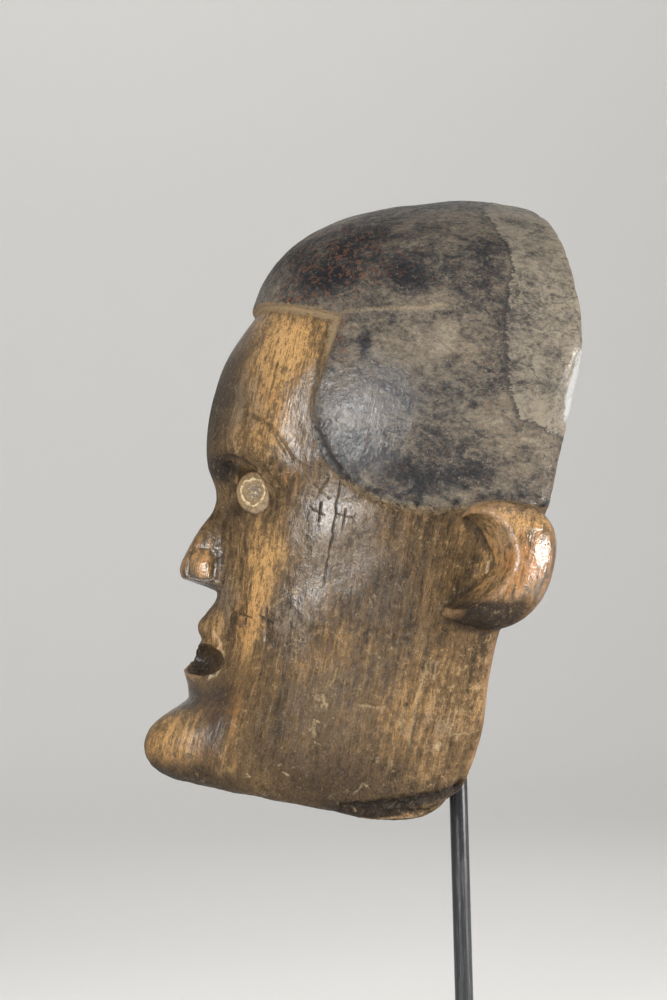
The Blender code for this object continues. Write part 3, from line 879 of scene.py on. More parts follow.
    def grain(self, wiring: Wiring, placed: Callable) -> Grain:
        """Places the textures that everything on the mask shares.

        Args:
            wiring: the material's wiring.
            placed: what places a mottle or a fibre effect, as a group or as loose nodes.

        Returns:
            The textures' outputs.
        """
        fine = placed("mottle", Size=3.0, Contrast=1.8)
        edge = wiring.plus(wiring.painted("cap_mm"), wiring.spread(fine, -1.3, 1.3))
        return Grain(fine, grit=placed("mottle", Size=0.8, Contrast=1.6),
                     hair=placed("fibre", Width=0.7, Contrast=1.8),
                     streak=placed("fibre", Width=2.6, Contrast=1.8),
                     on_cap=wiring.rise(edge, -0.3, 0.3))

    def weathered(self, wiring: Wiring, grain: Grain, colour: object,
                  ledge: object, raw: object) -> bpy.types.NodeSocket:
        """Lays fuzz, wear, dirt, raw places and cuts over the colour.

        Args:
            wiring: the material's wiring.
            grain: the wood's unevenness.
            colour: the colour so far.
            ledge: where the fuzzy edge of the cap is.
            raw: where the wood is raw.

        Returns:
            The colour.
        """
        colour = wiring.blend(wiring.times(ledge, 0.85), colour, self.fuzz)
        convex = wiring.total(-0.45, (wiring.painted("edge"), 1.0), (grain.fine, 0.45),
                              (grain.grit, 0.45))
        convex = wiring.times(wiring.rise(convex, 0.28, 0.80), 0.35)
        clean = wiring.total(1.0, (grain.on_cap, -1.0), (wiring.painted("umber"), -1.0))
        colour = wiring.blend(wiring.times(convex, clean, clamp=True), colour, self.bare)
        sunk = wiring.rise(wiring.painted("pit"), 0.15, 0.80)
        colour = wiring.blend(wiring.times(sunk, 0.60), colour, self.umber)
        # raw wood shows tan on the face and pale grey on the cap; on the facet at the cap's back edge
        # the pale grey is partly a painted highlight
        grey = wiring.compute("SUBTRACT", grain.on_cap, wiring.painted("amber"), clamp=True)
        colour = wiring.blend(raw, colour, wiring.blend(grey, self.bare, self.worn))
        scraped = wiring.times(wiring.painted("scraped"), wiring.rise(grain.grit, 0.2, 0.6),
                               clamp=True)
        colour = wiring.blend(scraped, colour, self.chalk)
        return wiring.blend(wiring.times(wiring.painted("cut"), 0.9), colour, self.umber)

    def torn(self, wiring: Wiring, at: object, effects: Effects) -> bpy.types.NodeSocket:
        """How much torn slanting fibre lies low on the jaw.

        Args:
            wiring: the material's wiring.
            at: the place on the mask in millimetres.
            effects: the shared effects.

        Returns:
            A value from 0 to 1.
        """
        turned = wiring.add("ShaderNodeMapping", {"Vector": at,
                                                  "Rotation": (self.fibre_slant, 0.0, 0.0)})
        slant = wiring.group(effects.fibre, Vector=turned.outputs[0], Width=1.0, Contrast=1.8)
        up = wiring.add("ShaderNodeSeparateXYZ", {0: at}).outputs["Z"]
        low = wiring.compute("SUBTRACT", 1.0, wiring.rise(up, *self.torn_below))
        return wiring.times(low, wiring.rise(slant, 0.50, 0.85))

    def wax_relief(self, wiring: Wiring, at: object, effects: Effects) -> bpy.types.NodeSocket:
        """The height of the wax, evener than the wood under it.

        A group's output may not reach a coat's directions, so its textures are loose nodes.

        Args:
            wiring: the material's wiring.
            at: the place on the mask in millimetres.
            effects: the shared effects.

        Returns:
            The height in millimetres.
        """
        wires = {"mottle": effects.wire_mottle, "fibre": effects.wire_fibre}

        def loose(name: str, **values: float) -> bpy.types.NodeSocket:
            """Places an effect's nodes straight into the material."""
            return wires[name](wiring, {"Vector": at, **values})

        grain = self.grain(wiring, loose)
        dents = loose("mottle", Size=9.0, Contrast=1.5)
        return wiring.total(0.0, (grain.hair, 0.07), (grain.grit, 0.05), (grain.fine, 0.15),
                            (grain.streak, 0.10), (dents, 0.45),
                            (wiring.times(grain.on_cap, grain.fine), 0.22))

    def material(self, own: OwnFrame, effects: Effects) -> bpy.types.Material:
        """Makes the material.

        Args:
            own: the mask's own frame.
            effects: the shared effects.

        Returns:
            The material.
        """
        material, wiring, shader = new_material("old carved wood")
        at = self.vector(wiring, own)

        def grouped(name: str, **values: float) -> bpy.types.NodeSocket:
            """Places an effect's group."""
            return wiring.group(getattr(effects, name), Vector=at, **values)

        grain = self.grain(wiring, grouped)
        colour = wiring.blend(grain.on_cap, self.skin(wiring, at, effects),
                              self.cap(wiring, at, effects))
        ledge = wiring.total(-0.9, (wiring.painted("ledge"), 1.0), (grain.fine, 0.9),
                             (grain.grit, 0.9))
        ledge = wiring.rise(ledge, 0.15, 0.65)
        raw = wiring.total(-0.6, (wiring.painted("raw"), 1.3), (grain.fine, 0.6),
                           (grain.grit, 0.6))
        raw = wiring.rise(raw, 0.15, 0.65)
        colour = self.weathered(wiring, grain, colour, ledge, raw)
        torn = self.torn(wiring, at, effects)
        colour = wiring.blend(wiring.times(torn, 0.22), colour, self.fuzz)
        inner = wiring.blend(grouped("mottle", Size=30.0, Contrast=1.6), self.umber, self.hollow)
        inner = wiring.blend(wiring.times(grain.hair, 0.35), inner, self.bare)
        colour = wiring.blend(wiring.painted("inside"), colour, inner)
        wiring.feed(colour, shader.inputs["Base Color"])

        dull = wiring.compute("MAXIMUM", raw, ledge)
        dull = wiring.compute("MAXIMUM", wiring.painted("inside"), dull)
        waxed = wiring.total(-0.35, (wiring.painted("shine"), 1.0), (grain.grit, 0.35),
                             (grain.fine, 0.35), (dull, -1.2))
        wiring.feed(wiring.rise(waxed, 0.15, 1.05), shader.inputs["Coat Weight"])
        shader.inputs["Coat Roughness"].default_value = self.wax_rough
        shader.inputs["Roughness"].default_value = self.dull_rough
        shader.inputs["Specular IOR Level"].default_value = self.specular

        relief = wiring.total(0.0, (grain.hair, 0.35), (grain.grit, 0.25), (grain.fine, 0.75),
                              (grain.streak, 0.40), (wiring.painted("cut"), -0.5), (torn, 0.45),
                              (wiring.times(grain.on_cap, grain.fine), 0.60),
                              (wiring.times(ledge, grain.grit), 0.60))
        wiring.feed(wiring.bump(relief), shader.inputs["Normal"])
        wax = self.wax_relief(wiring, at, effects)
        wiring.feed(wiring.bump(wax), shader.inputs["Coat Normal"])
        return material


@dataclass(frozen=True)
class PaleInlay:
    """The worn pale inlay of an eye: a tan disc with a ragged cream ring and a grey middle."""

    body: Colour = (0.20, 0.130, 0.062)
    bark: Colour = (0.10, 0.064, 0.031)
    cream: Colour = (0.44, 0.335, 0.19)
    grey: Colour = (0.085, 0.070, 0.052)
    dirt: Colour = (0.055, 0.036, 0.020)
    rough: float = 0.45

    def material(self, effects: Effects) -> bpy.types.Material:
        """Makes the material.

        Args:
            effects: the shared effects.

        Returns:
            The material.
        """
        material, wiring, shader = new_material("pale eye inlay")
        at = wiring.in_millimetres()
        cloud = wiring.group(effects.mottle, Vector=at, Size=4.0, Contrast=2.0)
        fine = wiring.group(effects.mottle, Vector=at, Size=1.5, Contrast=2.2)
        middle = wiring.painted("middle")
        colour = wiring.blend(wiring.rise(fine, 0.3, 0.8), self.body, self.bark)
        sunk = wiring.rise(wiring.total(0.0, (middle, 0.55), (cloud, 0.6)), 0.50, 0.80)
        colour = wiring.blend(wiring.times(sunk, 0.85), colour, self.grey)
        swirl = wiring.rise(wiring.total(-0.25, (middle, 0.40), (fine, 1.1)), 0.70, 0.92)
        colour = wiring.blend(swirl, colour, self.cream)
        ring = wiring.total(-1.15, (wiring.painted("ring"), 0.9), (fine, 1.3), (cloud, 0.9))
        ring = wiring.rise(ring, 0.30, 0.80)
        colour = wiring.blend(ring, colour, self.cream)
        grime = wiring.times(wiring.painted("grime"), wiring.spread(fine, 0.5, 1.4), clamp=True)
        colour = wiring.blend(grime, colour, self.dirt)
        wiring.feed(colour, shader.inputs["Base Color"])
        wiring.feed(wiring.spread(fine, self.rough - 0.1, self.rough + 0.15),
                    shader.inputs["Roughness"])
        relief = wiring.plus(wiring.times(fine, 0.25), wiring.times(ring, 0.25))
        wiring.feed(wiring.bump(relief), shader.inputs["Normal"])
        return material


@dataclass(frozen=True)
class BlackPaint:
    """Satin black paint on steel, with drawn streaks, rubbed edges and a little dust."""

    paint: Colour = (0.012, 0.013, 0.016)
    # pale bluish grey of rubbed paint at the nicks, and of the streaks drawn up the paint, which are
    # partly a painted sheen
    rubbed: Colour = (0.10, 0.105, 0.115)
    dust: Colour = (0.20, 0.19, 0.175)
    rough: float = 0.24
    dusty: float = 0.0

    def material(self, name: str, effects: Effects) -> bpy.types.Material:
        """Makes the material.

        Args:
            name: the material's name.
            effects: the shared effects.

        Returns:
            The material.
        """
        material, wiring, shader = new_material(name)
        at = wiring.in_millimetres()
        streak = wiring.group(effects.fibre, Vector=at, Width=1.1, Contrast=1.8)
        cloud = wiring.group(effects.mottle, Vector=at, Size=14.0, Contrast=1.6)
        nicks = wiring.group(effects.flecks, Vector=at, Size=1.4, Amount=0.12)
        # paler bluish streaks drawn up the paint, partly a painted sheen
        colour = wiring.blend(wiring.times(wiring.rise(streak, 0.55, 0.85), 0.30),
                              self.paint, self.rubbed)
        colour = wiring.blend(wiring.times(nicks, 0.6), colour, self.rubbed)
        facing = wiring.add("ShaderNodeNewGeometry").outputs["Normal"]
        up = wiring.add("ShaderNodeSeparateXYZ", {0: facing}).outputs["Z"]
        lying = wiring.times(wiring.rise(up, 0.5, 1.0), wiring.rise(cloud, 0.35, 0.8))
        lying = wiring.times(lying, self.dusty)
        colour = wiring.blend(lying, colour, self.dust)
        wiring.feed(colour, shader.inputs["Base Color"])
        uneven = wiring.plus(wiring.spread(streak, -0.08, 0.14), wiring.spread(cloud, -0.05, 0.08))
        uneven = wiring.plus(uneven, wiring.times(lying, 0.5))
        wiring.feed(wiring.plus(uneven, self.rough, clamp=True), shader.inputs["Roughness"])
        relief = wiring.plus(wiring.times(streak, 0.08), wiring.times(cloud, 0.10))
        wiring.feed(wiring.bump(relief, 0.6), shader.inputs["Normal"])
        return material


@dataclass
class CarvedMask:
    """The mask itself: its rounded mesh, the marks cut into it and the paint on it."""

    own: OwnFrame
    voxel: float = 1.05
    quick_voxel: float = 2.2
    most_triangles: int = 150000
    crease_from: float = math.radians(38)
    cap_line: tuple[Flat, ...] = (
        (218.4, 253.4), (119.3, 241.6), (123.5, 200.0), (122.9, 190.0), (119.9, 180.3),
        (114.4, 171.6), (106.6, 164.4), (96.8, 158.8), (85.4, 154.9), (72.4, 153.4),
        (52.9, 155.4), (41.7, 160.0), (36.6, 163.6), (27.5, 167.2), (17.4, 168.2),
        (2.5, 169.8), (-50.4, 172.3), (-50.4, 420.0), (218.4, 420.0),
    )
    crust_line: tuple[Flat, ...] = (
        (58.0, 316.0), (50.0, 300.0), (41.8, 284.4), (44.0, 268.0), (43.6, 254.3), (40.2, 242.2),
        (35.6, 225.6), (25.2, 209.0), (6.8, 206.0), (-30.0, 205.0), (-30.0, 345.0), (40.0, 345.0),
    )
    wave: Relief = Relief(0.30, 24.0, 3, drawn=0.6)
    ripple: Relief = Relief(0.12, 5.0, 7)
    facet: Relief = Relief(0.34, 11.0, 61, drawn=0.45, layers=2)
    dent: Relief = Relief(0.30, 9.0, 17)
    fray: Relief = Relief(1.3, 3.4, 23)
    crust_shake: Relief = Relief(2.6, 9.0, 29)
    flake: Relief = Relief(0.9, 8.0, 31, layers=2)
    low_wear: Relief = Relief(0.5, 6.0, 37)
    mouth_wear: Relief = Relief(0.9, 4.0, 47)
    bite: Relief = Relief(0.5, 3.0, 43)
    crust_height: float = 0.45
    gouge_height: float = 1.3
    gouge_size: float = 9.0
    gouge_seed: int = 11
    mouth_middle: Place = (4.0, 146.0, 66.0)
    mouth_radii: Place = (20.0, 16.0, 22.0)
    stroke_spread: float = 1.6
    divisions: tuple[Flat, ...] = ((1.4, 9.0), (0.7, 9.0), (0.4, 0.85))
    kept_at_back: float = 0.25
    kept_at_face: float = 0.10
    face_from: float = 90.0
    spot_warp: float = 3.2
    base_ochre: float = 0.12
    base_shine: float = 0.32
    chip_reach: float = 2.2

    def lines(self) -> tuple[Stroke, ...]:
        """The grooves, the folds and the raised lines of the carving."""
        return (
            # the pad of the nose's wing with grooves all round it, and the fold behind it
            Stroke(((4.4, 162.3, 117.0), (6.3, 160.8, 101.8)), 0.6, 0.9, stain_and_shade=0.55, taper=0.2),
            Stroke(((6.3, 160.4, 102.2), (9.0, 154.5, 101.6), (13.0, 147.2, 102.8)), 0.8, 1.0,
                   stain_and_shade=0.7, taper=0.2),
            Stroke(((9.6, 151.2, 118.6), (11.4, 149.8, 112.0), (12.8, 147.6, 103.0)), 1.1, 1.6,
                   stain_and_shade=0.5, taper=0.2),
            Stroke(((4.4, 162.2, 117.2), (9.6, 151.4, 119.2)), 0.5, 1.1, stain_and_shade=0.2),
            Stroke(((12.0, 149.0, 119.0), (15.0, 143.2, 105.0)), 0.9, 3.0, stain_and_shade=0.25),
            # the brow, the socket's upper fold and the eye's lower fold
            Stroke(((38.8, 155.5, 186.9), (46.6, 148.8, 185.6), (53.1, 141.6, 182.4),
                    (56.1, 136.8, 177.6), (58.3, 131.8, 172.4), (60.4, 125.9, 166.0)),
                   0.9, 1.3, stain_and_shade=0.5),
            Stroke(((20.5, 159.5, 161.8), (26.0, 157.2, 163.6), (32.8, 153.9, 164.2),
                    (39.4, 148.0, 162.6), (43.5, 141.5, 157.5)), 1.3, 1.8, stain_and_shade=0.75),
            Stroke(((19.0, 156.5, 157.0), (22.7, 155.0, 159.6), (29.4, 151.7, 161.2)),
                   2.2, 2.2, stain_and_shade=1.0, ragged=0.4),
            Stroke(((18.0, 152.6, 155.0), (18.0, 149.9, 150.5), (18.4, 147.4, 146.3),
                    (19.8, 145.0, 141.4), (25.8, 141.4, 137.2)), 0.9, 2.0, stain_and_shade=0.35),
            # the fold that runs down from the nose past the mouth
            Stroke(((14.5, 151.0, 147.0), (17.3, 146.8, 139.0), (14.9, 144.5, 125.0),
                    (17.5, 140.1, 104.5), (22.6, 131.3, 75.0)), -0.8, 4.0),
            # the raised line that runs back over the cap from its corner
            Stroke(((66.3, 119.6, 243.0), (70.1, 118.1, 244.0), (77.9, 102.3, 247.6),
                    (84.2, 84.0, 252.0), (87.1, 70.2, 256.0)), -0.40, 1.3, ragged=0.5, pale=0.35),
            # the broken rim of the mouth
            Stroke(((11.7, 143.9, 77.8), (15.0, 139.1, 73.4), (17.8, 136.2, 68.6),
                    (19.0, 135.6, 62.4), (19.9, 136.2, 56.4), (16.3, 140.7, 52.2)),
                   0.5, 0.9, Reach.LEFT, ragged=0.9, taper=0.2, pale=0.9),
            # the edge of the ear's upper facet
            Stroke(((106.7, 18.4, 154.2), (106.1, 11.8, 155.8), (103.9, 5.2, 157.4)), -0.3, 0.7,
                   pale=0.5, taper=0.6),
        )

    def crosses(self) -> tuple[Stroke, ...]:
        """The scars cut as small crosses on the cheekbone and beside the mouth."""
        return (
            Stroke(((65.8, 108.7, 149.6), (65.3, 107.3, 139.2)), 0.8, 0.5, stain_and_shade=0.85),
            Stroke(((62.4, 113.4, 145.4), (66.7, 104.9, 143.2)), 0.5, 0.4, stain_and_shade=0.55),
            Stroke(((70.6, 96.6, 148.8), (69.4, 95.7, 137.0)), 0.8, 0.5, stain_and_shade=0.85),
            Stroke(((68.6, 100.6, 145.0), (71.8, 90.6, 144.6)), 0.5, 0.4, stain_and_shade=0.5),
            Stroke(((31.6, 130.4, 95.0), (29.1, 128.5, 82.0)), 1.0, 0.7, stain_and_shade=1.0),
            Stroke(((25.6, 132.7, 88.4), (34.6, 126.2, 87.4)), 0.7, 0.5, stain_and_shade=0.8),
            Stroke(((42.5, 121.8, 96.0), (41.2, 119.6, 85.0), (39.7, 118.1, 76.5)), 0.8, 0.7,
                   stain_and_shade=0.8, ragged=0.4),
            Stroke(((37.8, 124.2, 89.4), (44.6, 116.2, 86.6)), 0.7, 0.5, stain_and_shade=0.8),
        )

    def scratches(self) -> tuple[Stroke, ...]:
        """The crack and the scratches on the mask's left."""
        left = Reach.LEFT
        return (
            # the long crack down the cheek, scratches on the brow and above the nose
            Stroke(((72.8, 102.6, 166.5), (72.1, 102.3, 162.0), (69.2, 101.4, 149.7),
                    (67.4, 99.7, 134.4), (64.7, 99.4, 122.0), (61.5, 98.4, 108.0)),
                   0.8, 0.45, left, stain_and_shade=0.9, ragged=0.45, taper=0.6),
            Stroke(((20.0, 162.0, 176.0), (20.7, 161.3, 164.9)), 0.4, 0.6, left, stain_and_shade=0.3),
            Stroke(((64.1, 112.0, 149.6), (69.5, 107.4, 161.9)), 0.3, 0.5, left, stain_and_shade=0.3),
            Stroke(((63.0, 113.5, 157.0), (68.5, 104.5, 151.0)), 0.3, 0.5, left, stain_and_shade=0.25),
            Stroke(((36.0, 158.0, 192.0), (33.0, 158.5, 182.0)), 0.2, 0.4, left, pale=0.35),
            Stroke(((25.4, 163.7, 179.9), (18.0, 165.2, 173.4), (15.3, 163.8, 165.8)), 0.2, 0.4,
                   left, pale=0.45),
            Stroke(((63.7, 96.3, 117.6), (65.0, 94.3, 120.1)), 0.3, 0.5, left, pale=0.7),
            # scratches and gouges down the jaw
            Stroke(((79.2, 41.9, 84.0), (76.6, 43.0, 66.8), (75.8, 42.0, 56.0)),
                   0.5, 0.7, left, ragged=0.5, pale=0.7),
            Stroke(((80.0, 38.0, 85.5), (79.0, 36.5, 74.5)), 0.4, 0.5, left, ragged=0.3, pale=0.6),
            Stroke(((79.6, 40.3, 85.0), (78.6, 38.9, 75.5)), 0.4, 0.5, left, ragged=0.3, pale=0.5),
            Stroke(((75.8, 42.0, 60.0), (73.3, 41.7, 40.9)), 0.5, 0.7, left, ragged=0.5,
                   pale=0.7),
            Stroke(((75.0, 47.9, 60.5), (73.2, 46.5, 46.5)), 0.5, 0.8, left, ragged=0.5,
                   pale=0.6),
            Stroke(((76.6, 24.4, 50.0), (75.2, 10.5, 56.0)), 0.3, 0.6, left, ragged=0.8, pale=0.5),
            Stroke(((67.5, 69.5, 55.5), (71.5, 57.0, 57.6)), 0.4, 0.9, left, ragged=0.9, pale=0.6),
            Stroke(((64.0, 62.0, 12.5), (65.0, 57.0, 20.0)), 0.4, 0.7, left, ragged=0.6, pale=0.5),
            Stroke(((60.1, 87.1, 58.2), (61.6, 82.9, 50.0)), 0.4, 1.1, left, ragged=0.9, pale=0.6),
            Stroke(((63.1, 82.7, 72.3), (61.9, 83.8, 63.0)), 0.3, 0.8, left, ragged=0.9, pale=0.5),
            Stroke(((59.1, 87.5, 43.8), (58.9, 86.0, 35.0)), 0.4, 1.3, left, ragged=0.9, pale=0.6),
        )

    def damage(self) -> tuple[Stroke, ...]:
        """The eaten and broken places on the mask's left."""
        left = Reach.LEFT
        return (
            # the eaten-out seam along the lower back edge, its dark stain partly painted shade of the
            # underside, and the pale splinter below it
            Stroke(((55.0, 66.0, 3.5), (62.0, 52.0, 7.0), (64.4, 46.8, 9.5), (67.0, 40.3, 12.6),
                    (69.0, 32.7, 15.8), (69.5, 24.4, 19.1), (68.6, 18.1, 21.4), (65.0, 10.8, 27.8)),
                   2.8, 2.9, left, stain_and_shade=1.0, ragged=1.5, taper=0.25),
            Stroke(((60.0, 50.0, 5.0), (64.0, 36.6, 9.7), (64.5, 27.2, 12.7), (63.0, 17.3, 17.7)),
                   1.5, 1.8, left, stain_and_shade=0.9, ragged=1.6, taper=0.5),
            Stroke(((50.0, 56.0, 0.8), (56.0, 44.0, 3.2), (60.0, 34.0, 6.5), (62.0, 24.0, 11.0)),
                   -0.6, 1.1, left, ragged=0.6, pale=0.9),
            # the whitish nick on the jaw
            Stroke(((76.2, 28.6, 47.2), (76.0, 27.2, 45.1), (75.8, 26.8, 41.8)), 0.7, 0.6, left,
                   ragged=0.3, pale=1.0),
            # the slot in the ear's inner edge
            Stroke(((84.9, 24.6, 138.6), (84.4, 24.4, 131.2)), 1.2, 1.1, left, taper=0.15,
                   pale=1.2),
        )

    def chips(self) -> tuple[Stroke, ...]:
        """The small pale chips out of the lower edge and the jaw."""
        places = ((41.4, 112.0, 10.5), (51.4, 95.0, 15.2), (66.3, 56.0, 17.8), (39.1, 102.5, 2.4),
                  (53.8, 46.7, 3.1), (55.2, 58.9, 4.1), (28.1, 118.9, 0.3), (60.0, 84.0, 33.0),
                  (58.0, 86.0, 44.0), (33.0, 121.0, 33.0))
        return tuple(
            Stroke(((side, out - self.chip_reach, up - 0.4), (side, out + self.chip_reach, up + 0.5)),
                   0.5, 0.6, Reach.LEFT, ragged=0.7, pale=1.1)
            for side, out, up in places)

    def strokes(self) -> tuple[Stroke, ...]:
        """All that is cut into the mask or raised on it as a line."""
        return (*self.lines(), *self.crosses(), *self.scratches(), *self.damage(), *self.chips())

    def swellings(self) -> tuple[Swelling, ...]:
        """The smaller rounded forms."""
        return (
            Swelling((9.4, 155.0, 109.8), (7.5, 8.0, 8.5), 1.2),
            Swelling((4.0, 150.0, 79.0), (13.0, 12.0, 7.0), 0.9),
            Swelling((80.5, 106.7, 197.4), (26.0, 24.0, 26.0), 1.0),
            Swelling((67.0, 104.0, 138.0), (16.0, 15.0, 15.0), 0.8),
            Swelling((72.0, 81.0, 133.0), (16.0, 15.0, 18.0), -0.9),
            Swelling((83.0, 34.0, 136.0), (10.0, 15.0, 20.0), -1.4),
            Swelling((60.0, 20.0, 12.0), (30.0, 24.0, 16.0), 1.5),
            Swelling((76.0, 26.6, 45.9), (2.0, 1.6, 3.4), -0.9, Reach.LEFT),
            Swelling((93.0, 10.0, 262.0), (9.0, 12.0, 16.0), -0.6, Reach.LEFT),
        )

    def spots(self) -> tuple[Spot, ...]:
        """The soft places of colour and shine, among them painted shade, painted sheen and a painted
        highlight.
        """
        ochre, bloom, umber, amber = Layer.OCHRE, Layer.BLOOM, Layer.UMBER, Layer.AMBER
        chalk, shine, raw = Layer.CHALK, Layer.SHINE, Layer.RAW
        left = Reach.LEFT
        return (
            # forehead, brow and temple
            Spot(ochre, (142.0, 224.0), (17.0, 30.0), 0.95),
            Spot(ochre, (140.0, 183.0), (20.0, 18.0), 0.55),
            # darker along the front edge of the forehead and brow: painted shade where the light falls
            # off
            Spot(umber, (168.0, 212.0), (14.0, 44.0), 0.55),
            Spot(umber, (172.0, 178.0), (14.0, 22.0), 0.40),
            Spot(bloom, (156.0, 192.0), (14.0, 20.0), 0.55),
            Spot(bloom, (127.0, 190.0), (9.0, 24.0), 0.45),
            Spot(shine, (126.0, 186.0), (12.0, 24.0), 0.80),
            Spot(shine, (150.0, 225.0), (20.0, 34.0), 0.35),
            Spot(amber, (140.0, 196.0), (18.0, 14.0), 0.45),
            Spot(amber, (124.0, 158.0), (14.0, 8.0), 0.40, 0.6),
            Spot(umber, (156.0, 159.0), (9.0, 6.0), 1.10, 0.2),
            Spot(umber, (146.0, 140.0), (7.0, 7.0), 0.60),
            Spot(umber, (124.0, 168.0), (10.0, 6.0), 0.30, -0.6),
            # cheek
            Spot(bloom, (102.0, 138.0), (20.0, 22.0), 0.60),
            Spot(shine, (102.0, 134.0), (22.0, 24.0), 0.95),
            Spot(ochre, (128.0, 118.0), (13.0, 26.0), 0.65),
            Spot(ochre, (126.0, 80.0), (6.0, 30.0), 0.70),
            Spot(umber, (128.0, 58.0), (8.0, 16.0), 0.45),
            Spot(bloom, (110.0, 92.0), (14.0, 20.0), 0.50),
            Spot(shine, (112.0, 100.0), (14.0, 30.0), 0.75),
            Spot(umber, (96.0, 80.0), (14.0, 10.0), 0.30),
            Spot(ochre, (90.0, 78.0), (14.0, 16.0), 0.35),
            Spot(umber, (80.0, 122.0), (18.0, 26.0), 0.20),
            Spot(umber, (62.0, 112.0), (20.0, 24.0), 0.30),
            # nose, lips and chin
            Spot(ochre, (156.0, 110.0), (8.0, 10.0), 0.85),
            Spot(shine, (156.0, 112.0), (14.0, 14.0), 1.05),
            Spot(umber, (164.0, 122.0), (8.0, 20.0), 0.30),
            # a thin dark band under the nose: painted shadow of the nose
            Spot(umber, (161.0, 100.0), (18.0, 3.0), 0.80),
            Spot(bloom, (141.0, 92.0), (8.0, 16.0), 0.50),
            Spot(umber, (149.0, 88.0), (6.0, 8.0), 0.35),
            Spot(ochre, (142.0, 78.0), (5.0, 9.0), 0.75),
            Spot(umber, (145.0, 64.0), (8.5, 9.5), 1.10, 0.0, left, -12.0),
            Spot(raw, (137.5, 68.0), (1.4, 8.0), 0.50, 0.0, left, 8.0),
            Spot(ochre, (152.0, 20.0), (20.0, 16.0), 0.80),
            Spot(amber, (152.0, 14.0), (22.0, 14.0), 0.35),
            Spot(shine, (143.0, 36.0), (16.0, 22.0), 0.75),
            Spot(umber, (150.0, 42.0), (18.0, 7.0), 0.75, -0.35),
            Spot(umber, (133.0, 30.0), (7.0, 20.0), 0.60),
            Spot(amber, (130.0, 36.0), (12.0, 26.0), 0.60),
            Spot(amber, (158.0, 112.0), (12.0, 14.0), 0.50),
            Spot(amber, (128.0, 88.0), (10.0, 24.0), 0.45),
            Spot(bloom, (134.0, 40.0), (5.0, 14.0), 0.30),
            # darker along the chin's front edge: painted shade
            Spot(umber, (166.0, 22.0), (7.0, 18.0), 0.40),
            Spot(ochre, (124.0, 24.0), (7.0, 20.0), 0.40),
            Spot(umber, (146.0, 2.0), (32.0, 8.0), 0.75),
            # jaw
            Spot(umber, (92.0, 26.0), (44.0, 26.0), 0.30),
            Spot(umber, (60.0, 14.0), (34.0, 16.0), 0.38),
            Spot(umber, (84.0, 58.0), (30.0, 20.0), 0.25),
            Spot(chalk, (86.0, 54.0), (4.0, 12.0), 0.30, 0.35, left),
            Spot(chalk, (104.0, 78.0), (4.0, 8.0), 0.28, 0.3, left),
            Spot(ochre, (34.0, 62.0), (24.0, 30.0), 0.40),
            Spot(chalk, (20.0, 76.0), (14.0, 18.0), 0.15),
            Spot(ochre, (100.0, 50.0), (50.0, 40.0), 0.10),
            Spot(bloom, (30.0, 56.0), (16.0, 20.0), 0.35),
            # dark bands low on the back edge along the eaten seam: partly the seam's own darkness,
            # partly painted shade of the underside
            Spot(umber, (52.0, 3.0), (30.0, 5.0), 0.45),
            Spot(umber, (44.0, 8.5), (18.0, 3.4), 0.90, -0.30, left),
            Spot(umber, (24.0, 20.0), (19.0, 3.2), 1.60, -0.48, left),
            Spot(chalk, (27.2, 45.0), (1.0, 2.8), 2.60, 0.20, left),
            Spot(raw, (36.0, 6.0), (15.0, 1.2), 0.30, -0.42, left),
            # ears
            Spot(ochre, (16.0, 160.0), (22.0, 6.0), 0.55, 0.0, Reach.BOTH, 84.0),
            Spot(ochre, (14.0, 138.0), (14.0, 26.0), 0.35, 0.0, Reach.BOTH, 90.0),
            Spot(bloom, (22.0, 144.0), (5.0, 20.0), 0.45, 0.0, Reach.BOTH, 92.0),
            Spot(shine, (12.0, 140.0), (26.0, 30.0), 1.00, 0.0, Reach.BOTH, 88.0),
            # a dark patch under each ear lobe, partly painted shade of its underside
            Spot(umber, (20.0, 111.5), (17.0, 8.0), 1.70, -0.35, Reach.BOTH, 84.0),
            Spot(shine, (20.0, 111.5), (20.0, 9.0), -1.40, -0.35, Reach.BOTH, 84.0),
            Spot(amber, (10.0, 140.0), (20.0, 22.0), 0.75, 0.0, Reach.BOTH, 88.0),
            Spot(ochre, (38.0, 136.0), (12.0, 22.0), 0.35, 0.0, Reach.BOTH, 78.0),
            Spot(ochre, (24.0, 138.0), (7.0, 22.0), 0.45, 0.0, Reach.BOTH, 80.0),
            # cap
            Spot(shine, (101.0, 196.0), (24.0, 26.0), 1.20),
            Spot(bloom, (98.0, 204.0), (22.0, 26.0), 0.75),
            Spot(bloom, (60.0, 212.0), (30.0, 26.0), 0.35),
            Spot(umber, (92.0, 266.6), (12.0, 8.0), 1.10),
            Spot(umber, (105.7, 227.7), (4.0, 5.0), 1.20),
            Spot(umber, (98.0, 178.0), (20.0, 9.0), 0.80),
            Spot(umber, (66.0, 170.0), (20.0, 9.0), 0.80),
            Spot(umber, (60.0, 236.0), (6.0, 24.0), 0.35),
            Spot(umber, (44.0, 182.0), (16.0, 12.0), 0.45),
            Spot(umber, (130.0, 268.0), (26.0, 20.0), 0.75),
            Spot(ochre, (124.0, 272.0), (26.0, 20.0), 0.50),
            Spot(ochre, (116.0, 232.0), (5.0, 14.0), 0.40),
            Spot(chalk, (66.0, 244.0), (20.0, 12.0), 0.35),
            Spot(chalk, (26.0, 190.0), (24.0, 16.0), 0.30),
            # a worn, polished facet on the cap's back edge; its pale grey is partly a painted highlight
            Spot(raw, (-1.5, 232.0), (5.0, 22.0), 1.15, 0.0, left, 84.0),
            Spot(shine, (-1.5, 232.0), (8.0, 24.0), 1.60, 0.0, left, 84.0),
            Spot(raw, (8.0, 310.0), (9.0, 14.0), 0.55, -0.5),
            Spot(amber, (8.0, 310.0), (12.0, 18.0), 1.0),
        )

